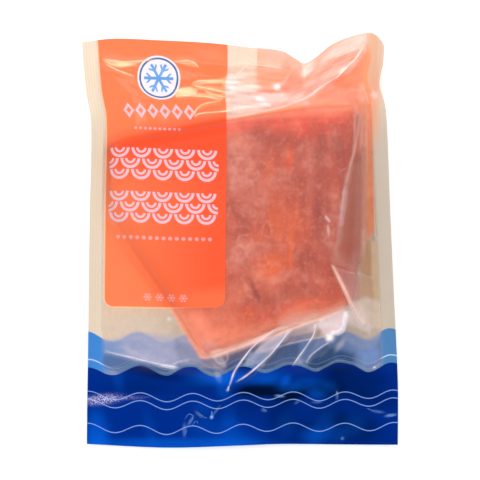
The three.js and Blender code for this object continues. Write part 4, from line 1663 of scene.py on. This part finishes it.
class Wiring:
    """Adds nodes to one tree and joins them, so that a material reads like its formula."""

    def __init__(self, tree):
        self.tree = tree
        tree.nodes.clear()

    def node(self, kind, inputs=(), **settings):
        made = self.tree.nodes.new("ShaderNode" + kind)
        for name, value in settings.items():
            setattr(made, name, value)
        for name, value in dict(inputs).items():
            self.join(value, made.inputs[name])
        return made

    def join(self, value, socket):
        if isinstance(value, bpy.types.NodeSocket):
            self.tree.links.new(value, socket)
        else:
            socket.default_value = value

    def math(self, operation, a, b=0, c=0, clamp=False):
        made = self.node("Math", {0: a, 1: b, 2: c}, operation=operation, use_clamp=clamp)
        return made.outputs[0]

    def times(self, a, b, clamp=False):
        return self.math("MULTIPLY", a, b, clamp=clamp)

    def plus(self, a, b):
        return self.math("ADD", a, b)

    def minus(self, a, b):
        return self.math("SUBTRACT", a, b)

    def divided(self, a, b):
        return self.math("DIVIDE", a, b)

    def larger(self, a, b):
        return self.math("MAXIMUM", a, b)

    def absolute(self, a):
        return self.math("ABSOLUTE", a)

    def times_plus(self, a, b, c):
        return self.math("MULTIPLY_ADD", a, b, c)

    def length(self, a, b):
        return self.math("SQRT", self.times_plus(a, a, self.times(b, b)))

    def blend(self, share, a, b, how="MIX"):
        made = self.node("Mix", {0: share, 6: a, 7: b}, data_type="RGBA", blend_type=how)
        return made.outputs[2]

    def painted(self, colour, layers):
        """A colour under further ones, each with how far it covers."""
        for share, code in layers:
            colour = self.blend(share, colour, ink(code))
        return colour

    def shaders(self, share, a, b):
        return self.node("MixShader", {0: share, 1: a, 2: b}).outputs[0]

    def attribute(self, name):
        return self.node("Attribute", attribute_name=name).outputs["Fac"]

    def ramp(self, value, low, high, to_low=0, to_high=1):
        inputs = {0: value, 1: low, 2: high, 3: to_low, 4: to_high}
        return self.node("MapRange", inputs, interpolation_type="SMOOTHSTEP").outputs[0]

    def inked(self, value, limit=0):
        """Ink where a value is below its limit, with the print's soft edge."""
        return self.ramp(value, limit + PRINT_EDGE, limit - PRINT_EDGE)

    def noise(self, places, scale, detail=2, roughness=0.5, distortion=0):
        inputs = {"Scale": scale, "Detail": detail, "Roughness": roughness, "Distortion": distortion}
        return self.node("TexNoise", {"Vector": places, **inputs}).outputs[0]

    def principled(self, colour, roughness, others=()):
        inputs = {"Base Color": colour, "Roughness": roughness, **dict(others)}
        return self.node("BsdfPrincipled", inputs).outputs[0]


def new_group(name, inputs, outputs):
    """A node group with number inputs and outputs, its wiring and its two end nodes."""
    tree = bpy.data.node_groups.new(name, "ShaderNodeTree")
    for way, labels in (("INPUT", inputs), ("OUTPUT", outputs)):
        for label in labels:
            tree.interface.new_socket(label, in_out=way, socket_type="NodeSocketFloat")
    wiring = Wiring(tree)
    start = tree.nodes.new("NodeGroupInput")
    end = tree.nodes.new("NodeGroupOutput")
    return tree, wiring, start.outputs, end.inputs


def use_group(w, tree, across, along, **inputs):
    """What a group gives at these places on the flat pouch."""
    made = w.tree.nodes.new("ShaderNodeGroup")
    made.node_tree = tree
    for name, value in {"Across": across, "Along": along, **inputs}.items():
        w.join(value, made.inputs[name])
    return made.outputs


def make_field_group():
    """A rounded rectangle in flat millimetres."""
    names = ["Across", "Along", "Left", "Right", "Bottom", "Top", "Corner"]
    tree, w, have, give = new_group("Rounded field", names, ["Mask"])
    depths = []
    for at, low, high in (("Across", "Left", "Right"), ("Along", "Bottom", "Top")):
        middle = w.times(w.plus(have[low], have[high]), 0.5)
        half = w.times(w.minus(have[high], have[low]), 0.5)
        away = w.absolute(w.minus(have[at], middle))
        depths.append(w.plus(w.minus(away, half), have["Corner"]))
    outside = w.length(*(w.larger(depth, 0) for depth in depths))
    inside = w.math("MINIMUM", w.larger(*depths), 0)
    depth = w.minus(w.plus(outside, inside), have["Corner"])
    w.join(w.inked(depth), give["Mask"])
    return tree


def make_wave_group():
    """A wavy level: what lies below it, and a thin line along it."""
    names = ["Across", "Along", "Level", "Rise", "Swing", "Thin", "Soft"]
    tree, w, have, give = new_group("Wave", names, ["Below", "Line"])
    phase = w.divided(w.minus(have["Across"], WAVE_SHIFT), WAVE_LENGTH)
    swing = w.math("COSINE", w.times(phase, 2 * math.pi))
    level = w.times_plus(have["Across"], have["Rise"], have["Level"])
    level = w.times_plus(swing, have["Swing"], level)
    over = w.minus(have["Along"], level)
    w.join(w.ramp(over, have["Soft"], w.times(have["Soft"], -1)), give["Below"])
    w.join(w.inked(w.minus(w.absolute(over), have["Thin"])), give["Line"])
    return tree


def make_scales_group():
    """Rows of half discs like fish scales, each row half a scale to the side of the next."""
    tree, w, have, give = new_group("Scales", ["Across", "Along", "Left", "Bottom"], ["Mask"])
    up = w.divided(w.minus(have["Along"], have["Bottom"]), SCALE_HEIGHT)
    row = w.math("FLOOR", up)
    shift = w.times(w.math("MODULO", row, 2), 0.5)
    over = w.divided(w.minus(have["Across"], have["Left"]), SCALE_HEIGHT * 2)
    column = w.minus(w.math("FRACT", w.plus(over, shift)), 0.5)
    run = w.times(column, SCALE_HEIGHT * 2)
    drop = w.times(w.minus(w.minus(up, row), 1), SCALE_HEIGHT)
    radius = w.length(run, drop)
    size = SCALE_HEIGHT - SCALE_GAP
    rings = []
    for outer, width in ((size, SCALE_LINE), (SCALE_DOT, SCALE_DOT_LINE)):
        inner = outer - width
        hole = w.ramp(radius, inner - PRINT_EDGE, inner + PRINT_EDGE)
        rings.append(w.times(w.inked(radius, outer), hole))
    w.join(w.larger(*rings), give["Mask"])
    return tree


def make_flake_group():
    """A six-armed snowflake, folded to one arm with a branch on it."""
    tree, w, have, give = new_group("Snowflake", ["Across", "Along", "X", "Y", "Size"], ["Mask"])
    run = w.divided(w.minus(have["Across"], have["X"]), have["Size"])
    rise = w.divided(w.minus(have["Along"], have["Y"]), have["Size"])
    radius = w.length(run, rise)
    turn = w.math("ARCTAN2", rise, run)
    folded = w.math("PINGPONG", w.plus(turn, math.pi), math.pi / 6)
    along_arm = w.times(radius, w.math("COSINE", folded))
    off_arm = w.times(radius, w.math("SINE", folded))
    arm = w.times(w.ramp(off_arm, 0.11, 0.07), w.ramp(along_arm, 1, 0.94))
    branch_line = w.absolute(w.minus(w.minus(along_arm, off_arm), 0.5))
    branch = w.times(w.ramp(branch_line, 0.11, 0.06), w.ramp(off_arm, 0.32, 0.27))
    w.join(w.larger(arm, branch), give["Mask"])
    return tree


FIELD = make_field_group()
WAVE = make_wave_group()
SCALES = make_scales_group()
FLAKE = make_flake_group()


def new_material(name):
    """An empty material and its wiring."""
    material = bpy.data.materials.new(name)
    material.use_nodes = True
    return material, Wiring(material.node_tree)


def finish_material(material, w, shader):
    end = w.tree.nodes.new("ShaderNodeOutputMaterial")
    w.join(shader, end.inputs["Surface"])
    return material


def flat_places(w):
    """Millimetres across and along the flat pouch, from the film's own map."""
    parts = w.node("SeparateXYZ", {0: w.node("UVMap").outputs[0]}).outputs
    return w.times(parts[0], POUCH_WIDTH), w.times(parts[1], POUCH_LENGTH)


def wave_at(w, across, along, level, swing, thin=0.28, rise=SEA_RISE, soft=PRINT_EDGE):
    return use_group(
        w, WAVE, across, along, Level=level, Rise=rise, Swing=swing, Thin=thin, Soft=soft
    )


def field_at(w, across, along, left, right, bottom, top, corner):
    return use_group(
        w, FIELD, across, along, Left=left, Right=right, Bottom=bottom, Top=top, Corner=corner
    )["Mask"]


def flake_at(w, across, along, place, size):
    return use_group(w, FLAKE, across, along, X=place[0], Y=place[1], Size=size)["Mask"]


def off_middle(w, across, left, pitch):
    """How far a place is from the middle of its step in a row, as a share of the step."""
    beat = w.math("FRACT", w.divided(w.minus(across, left), pitch))
    return w.absolute(w.minus(beat, 0.5))


def label_motifs(w, across, along):
    """The pale motifs on the label: bands of scales, a row of lozenges, dots and snowflakes."""
    total = 0
    for bottom in BAND_BOTTOMS:
        band = field_at(w, across, along, *BAND_SPAN, bottom, bottom + BAND_HEIGHT, 0.8)
        scales = use_group(w, SCALES, across, along, Left=BAND_SPAN[0], Bottom=bottom)
        total = w.larger(total, w.times(band, scales["Mask"]))
    left, right = LOZENGE_SPAN
    row = field_at(w, across, along, left, right, LOZENGE_LEVEL - 5, LOZENGE_LEVEL + 5, 0.1)
    run = w.times(off_middle(w, across, left, LOZENGE_WIDE), LOZENGE_SPREAD)
    rise = w.absolute(w.minus(along, LOZENGE_LEVEL))
    reach = w.times_plus(rise, 1 / LOZENGE_HALF, run)
    ring = w.times(w.ramp(reach, 1.05, 0.95), w.ramp(reach, 0.4, 0.5))
    total = w.larger(total, w.times(row, ring))
    for (left, right), level, half, gap in DOTTED_RULES:
        rule = field_at(w, across, along, left, right, level - half, level + half, half * 0.9)
        run = w.times(off_middle(w, across, left, gap), gap)
        away = w.length(run, w.minus(along, level))
        dots = w.times(rule, w.ramp(away, half + 0.12, half - 0.12))
        total = w.larger(total, w.times(dots, FAINT_INK))
    for middle in FLAKE_PLACES:
        flake = flake_at(w, across, along, (middle, FLAKE_LEVEL), FLAKE_SIZE)
        total = w.larger(total, w.times(flake, FAINT_INK))
    return total


def badge(w, across, along, colour):
    """A pale disc with a blue ring and a snowflake in the middle."""
    radius = w.length(w.minus(across, BADGE_PLACE[0]), w.minus(along, BADGE_PLACE[1]))
    off_ring = w.absolute(w.minus(radius, BADGE_RING))
    return w.painted(colour, [
        (w.inked(radius, BADGE_RADIUS), "#F6E8EE"),
        (w.inked(off_ring, BADGE_LINE), "#2A5F9E"),
        (flake_at(w, across, along, BADGE_PLACE, BADGE_FLAKE), "#5BA0E6"),
    ])


def dipped(w, across, along):
    """The height on the back film, whose print sits a little lower at the left side."""
    return w.plus(along, w.times_plus(across, -BACK_DIP / POUCH_WIDTH, BACK_DIP))


def back_sea(w, across, along, soft):
    """The sea on the back film, which starts a little lower and further left at the left side."""
    drawn = w.times_plus(across, 1 - BACK_DRIFT / BACK_DRIFT_SPAN, BACK_DRIFT)
    level, swing = BACK_SEA
    return wave_at(w, drawn, dipped(w, across, along), level, swing, rise=0, soft=soft)["Below"]


def label_area(w, across, along, inset=0):
    """The label field, whose right edge is drawn in where the portion stretches the film."""
    right = w.ramp(along, *LABEL_WIDENS, *(edge - inset for edge in LABEL_RIGHT))
    bottom = w.times_plus(across, LABEL_TILT, LABEL_BOTTOM - 32 * LABEL_TILT + inset)
    corner = LABEL_CORNER - inset
    return field_at(w, across, along, LABEL_LEFT + inset, right, bottom, PAST_TOP, corner)


def front_print(w, across, along):
    """Colour and cover of the ink on the front film."""
    label = label_area(w, across, along)
    orange = w.blend(w.attribute("tone"), ink("#FB4A1A"), ink("#FB7A48"))
    inner = w.larger(label_area(w, across, along, STROKE), w.ramp(across, 30, 52))
    orange = w.blend(inner, ink("#FFBE94"), orange)
    orange = w.painted(orange, [(label_motifs(w, across, along), "#E8BCC8")])
    orange = badge(w, across, along, orange)
    # Painted shade darkens the blue sea, and painted light brightens it
    blue = w.blend(w.attribute("painted_shade"), ink("#002A84"), ink("#000F30"))
    blue = w.painted(blue, [(w.attribute("painted_light"), "#0458CC")])
    colour = w.blend(w.math("GREATER_THAN", along, LABEL_BOTTOM - 10), blue, orange)
    for level in SEA_LINES:
        line = wave_at(w, across, along, level, 2.05, thin=0.2, rise=0.005)["Line"]
        colour = w.painted(colour, [(w.times(line, 0.8), "#8FB0F0")])
    sea = wave_at(w, across, along, SEA_LEVEL, SEA_SWING)["Below"]
    return colour, w.larger(w.times(label, LABEL_COVER), sea)


def mist_colour(w, across, along):
    """The fogged film, which takes on the colour of the print behind it, with painted shade and
    painted light on it.
    """
    cool = back_sea(w, across, along, MIST_SOFT)
    # Painted shade: greyer out of the light, and darker in the shaded patches
    colour = w.blend(w.attribute("shade_out_of_light"), ink("#D8C3B0"), ink("#C3B2A2"))
    mist_in_shade = w.blend(cool, ink("#A07C5C"), ink("#2E4468"))
    colour = w.painted(colour, [(cool, "#ADABC0"), (w.attribute("mauve"), "#86747E")])
    colour = w.blend(w.attribute("painted_shade"), colour, mist_in_shade)
    pane = w.node("Attribute", attribute_name="pane").outputs
    colour = w.painted(colour, [(w.attribute("painted_light"), "#FFDFD2"), (pane["Alpha"], "#000000")])
    colour = w.blend(1, colour, pane["Color"], "ADD")
    for level, thin, share, code in MIST_LINES:
        line = wave_at(w, across, along, level, SEA_SWING, thin=thin)["Line"]
        colour = w.painted(colour, [(w.times(line, share), code)])
    # The film at the portion's rim: fogged, with a painted peach glow
    rim = w.blend(w.attribute("ruddy"), ink("#FFC4B2"), ink("#FC9A78"))
    return w.blend(w.attribute("painted_rim_glow"), colour, rim)


def film_shine(w, straight):
    """How much a thin film mirrors, seen straight on and from the side, the same for both faces."""
    facing = w.node("LayerWeight", {"Blend": 0.5}).outputs["Facing"]
    return w.times_plus(w.math("POWER", facing, 5), 0.96, straight)


def turned_up(w, share):
    """The film's direction, turned upwards where haze in it scatters light from all sides."""
    own = w.node("NewGeometry").outputs["Normal"]
    ways = {"vector_type": "NORMAL", "convert_from": "OBJECT", "convert_to": "WORLD"}
    up = w.node("VectorTransform", {"Vector": (0, 0, 1)}, **ways).outputs[0]
    turned = w.node("Mix", {0: share, 4: own, 5: up}, data_type="VECTOR").outputs[1]
    return w.node("VectorMath", {0: turned}, operation="NORMALIZE").outputs[0]


def make_front_material():
    material, w = new_material("printed clear film")
    across, along = flat_places(w)
    along = w.minus(along, w.attribute("lift"))
    colour, cover = front_print(w, across, along)
    places = w.node("TexCoord").outputs["Object"]
    clouds = w.ramp(w.noise(places, 200, 5, 0.65), 0.3, 0.7, 0.91, 1.07)
    mist = w.times(w.attribute("haze"), clouds, clamp=True)
    total = w.plus(cover, w.times(w.minus(1, cover), mist))
    inked = w.divided(cover, w.larger(total, 0.001))
    tint = w.blend(inked, mist_colour(w, across, along), colour)
    # Painted sparkle on the crinkled seal, then painted shade and painted highlights on the film
    specks = w.ramp(w.noise(places, 1500, 3, 0.6), 0.45, 0.6, 0.1, 0.95)
    shade = w.times(w.attribute("shade"), 0.6)
    painted_glare = w.attribute("painted_glare")
    bright = w.blend(label_area(w, across, along), ink("#FFF6F4"), ink("#FFDCAC"))
    bright = w.blend(w.math("GREATER_THAN", along, SEA_TOP), ink("#98C0FF"), bright)
    sparkle = w.times(w.attribute("crinkle"), specks)
    tint = w.painted(tint, [(sparkle, "#CCC8F0"), (shade, "#4A3430")])
    tint = w.blend(painted_glare, tint, bright)
    total = w.larger(w.larger(total, shade), painted_glare)
    height = w.noise(places, 900)
    bump = w.node("Bump", {"Strength": 0.1, "Distance": 0.0002, "Height": height}).outputs[0]
    flat_ink = w.times(w.ramp(cover, 0.5, 0.9), 0.85)
    body = w.principled(tint, 0.5, {
        "Alpha": total, "Specular IOR Level": 0,
        "Normal": turned_up(w, w.larger(w.times(w.attribute("matt"), 0.9), flat_ink)),
    })
    rough = w.ramp(w.attribute("loose"), 0, 1, 0.42, 0.13)
    gloss = w.node("BsdfGlossy", {"Color": (1, 1, 1, 1), "Roughness": rough, "Normal": bump})
    calmed = w.times_plus(w.attribute("calm"), -0.8, 1)
    shine = w.times(film_shine(w, w.ramp(along, 34, 38, 0.002, 0.04)), calmed)
    return finish_material(material, w, w.shaders(shine, body, gloss.outputs[0]))


def make_pleat_material():
    material, w = new_material("pinched film with painted glint")
    paint = w.node("Attribute", attribute_name="tint").outputs
    share = w.times(w.attribute("crest_glint"), paint["Alpha"], clamp=True)
    shader = w.principled(paint["Color"], 0.3, {"Alpha": share, "Specular IOR Level": 0.8})
    return finish_material(material, w, shader)


def make_back_material():
    material, w = new_material("printed back film")
    across, along = flat_places(w)
    shade_out_of_light = w.attribute("shade_out_of_light")
    # Painted shade: cream, panel and blue print are greyer where the pack is out of the light
    cream = w.blend(shade_out_of_light, ink("#E3D0BA"), ink("#C8BAAB"))
    # A painted warm glow on the cream near the portion's upper right corner
    lit = w.blend(w.attribute("ruddy"), ink("#EAC4AC"), ink("#EEB494"))
    cream = w.blend(w.attribute("glow"), cream, lit)
    cream = w.painted(cream, [(w.attribute("pale"), "#F0DAC2"), (w.attribute("peach"), "#EEA888")])
    ribs = w.math("SINE", w.times(across, 2 * math.pi / RIB_PITCH))
    from_middle = w.absolute(w.minus(across, POUCH_WIDTH / 2))
    weld = POUCH_WIDTH / 2 - CLOSED_SIDE
    ribs = w.times(w.ramp(ribs, -1, 1, 0, 0.35), w.ramp(from_middle, weld - 0.5, weld + 0.5))
    cream = w.blend(ribs, cream, w.painted(cream, [(0.5, "#B9AF98")]))
    left, bottom, corner = PANEL_CORNER
    right = w.ramp(along, *PANEL_WIDENS, *PANEL_RIGHT)
    panel = field_at(w, across, along, left, right, bottom, PAST_TOP, corner)
    panel = w.times(panel, w.minus(1, w.attribute("faded")))
    colour = w.blend(panel, cream, w.blend(shade_out_of_light, ink("#FE9E74"), ink("#E88A68")))
    edge = w.times_plus(w.attribute("behind"), 0.8, PRINT_EDGE)
    blue = w.blend(shade_out_of_light, ink("#3A84D2"), ink("#4C82B6"))
    colour = w.blend(back_sea(w, across, along, edge), colour, blue)
    line = wave_at(w, across, dipped(w, across, along), BACK_LINE, SEA_SWING)["Line"]
    colour = w.painted(colour, [(line, "#BFD4F4")])
    return finish_material(material, w, w.principled(colour, 0.3))


def make_flesh_material():
    material, w = new_material("salmon flesh")
    places = w.node("TexCoord").outputs["Object"]
    broad = w.noise(places, 95, 5, 0.65)
    stretched = w.node("Mapping", {"Vector": places, "Scale": (2.2, 0.6, 1)}).outputs[0]
    streaks = w.noise(stretched, 110, 5, distortion=0.6)
    blotch = w.noise(places, 230, 2, distortion=0.3)
    fine = w.noise(places, 620, 4, 0.7)
    pale = w.times(w.attribute("pale"), w.ramp(blotch, 0.3, 0.7, 0.5, 1.3))
    red = w.times(w.attribute("red"), w.ramp(streaks, 0.35, 0.6, 0.55, 1.05))
    colour = w.blend(w.ramp(broad, 0.35, 0.65), ink("#AE4836"), ink("#C45A46"))
    # Peach, lit and rim are painted light; the darkest layer is darker flesh and painted shade
    colour = w.painted(colour, [
        (w.ramp(streaks, 0.52, 0.68, 0, 0.45), "#D65A34"),
        (w.ramp(streaks, 0.44, 0.3, 0, 0.35), "#C27064"),
        (w.times(w.attribute("orange"), 0.85), "#E0602F"),
        (w.times(w.attribute("deep_and_shaded"), 0.8), "#943C34"),
        (w.times(pale, 0.75), "#DC9080"),
        (w.times(red, 0.8), "#E44C34"),
        (w.times(w.attribute("peach"), 0.6), "#F08264"),
        (w.times(w.attribute("lit"), 0.8), "#F68C6A"),
        (w.times(w.attribute("rim"), 0.85), "#FF9068"),
        (w.times(w.attribute("bubble"), 0.3), "#E8A090"),
        (w.ramp(blotch, 0.5, 0.75, 0, 0.24), "#DE8C7C"),
        (w.ramp(blotch, 0.48, 0.25, 0, 0.2), "#A24432"),
        (w.ramp(fine, 0.5, 0.75, 0, 0.22), "#E8A090"),
        (w.ramp(fine, 0.45, 0.25, 0, 0.2), "#A84C3C"),
    ])
    bump = w.node("Bump", {"Strength": 0.3, "Distance": 0.0005, "Height": fine}).outputs[0]
    shader = w.principled(colour, 0.5, {
        "Subsurface Weight": 0.15, "Subsurface Radius": (0.004, 0.0015, 0.001),
        "Subsurface Scale": 1, "Specular IOR Level": 0.12, "Normal": bump,
    })
    return finish_material(material, w, shader)


def dress(piece, material):
    """Gives a piece its material, and says what it stands for in the frame."""
    piece.data.materials.clear()
    piece.data.materials.append(material)
    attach(piece, "root")
    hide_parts("sealed_pouch")


dress(make_front_film(), make_front_material())
dress(make_pleats(), make_pleat_material())
dress(make_back_film(), make_back_material())
dress(make_portion(), make_flesh_material())


# The table, the light and the camera


def make_floor():
    start_piece()
    bpy.ops.mesh.primitive_plane_add(size=6)
    floor = name_piece("floor")
    material, w = new_material("pale table")
    glow = {"Emission Color": (1, 1, 1, 1), "Emission Strength": 0.25}
    shader = w.principled((0.95, 0.95, 0.95, 1), 0.9, glow)
    floor.data.materials.append(finish_material(material, w, shader))


def add_lamp(name, place, size, watts, mirrored=False):
    """A softbox that faces the pack. It either lights the pack or is only mirrored in it."""
    start_piece()
    bpy.ops.object.light_add(type="AREA", location=place)
    lamp = bpy.context.object
    lamp.name = name
    lamp.data.shape = "RECTANGLE"
    lamp.data.size, lamp.data.size_y = size
    lamp.data.energy = watts
    lamp.rotation_euler = (-lamp.location).to_track_quat("-Z", "Y").to_euler()
    lamp.visible_diffuse = not mirrored
    lamp.visible_glossy = mirrored


def make_world():
    """A studio with pale walls and a dark ceiling, so that flat film shows its print."""
    world = bpy.data.worlds.new("studio")
    bpy.context.scene.world = world
    world.use_nodes = True
    w = Wiring(world.node_tree)
    up = w.node("SeparateXYZ", {0: w.node("TexCoord").outputs["Generated"]}).outputs[2]
    mirrored = w.ramp(up, 0.85, 0.1, CEILING_LIGHT, WALL_LIGHT)
    glossy = w.node("LightPath").outputs["Is Glossy Ray"]
    bright = w.node("Mix", {0: glossy, 2: ROOM_LIGHT, 3: mirrored}).outputs[0]
    sky = w.node("Background", {"Color": (1, 1, 1, 1), "Strength": bright})
    end = world.node_tree.nodes.new("ShaderNodeOutputWorld")
    w.join(sky.outputs[0], end.inputs["Surface"])


def make_light():
    make_world()
    add_lamp("top softbox", (0.05, 0.62, 0.75), (0.5, 0.2), 3)
    add_lamp("left softbox", (-0.6, 0.1, 0.8), (0.5, 0.7), 2.5)
    add_lamp("bottom softbox", (0.1, -0.62, 0.75), (0.5, 0.2), 1.5)
    add_lamp("right softbox", (0.6, 0.2, 0.8), (0.5, 0.6), 1.1)
    add_lamp("sheen from the top", (0, 0.5, 0.85), (0.7, 0.22), 0.7, True)


def make_camera():
    distance = VIEW_WIDTH * MM * LENS / SENSOR
    place = (0, VIEW_CENTRE * MM, distance + SEAM_LEVEL * MM)
    bpy.ops.object.camera_add(location=place, rotation=(0, 0, 0))
    camera = bpy.context.object
    camera.data.lens = LENS
    camera.data.sensor_width = SENSOR
    bpy.context.scene.camera = camera


make_floor()
make_light()
make_camera()
bpy.context.scene.view_settings.view_transform = "Standard"
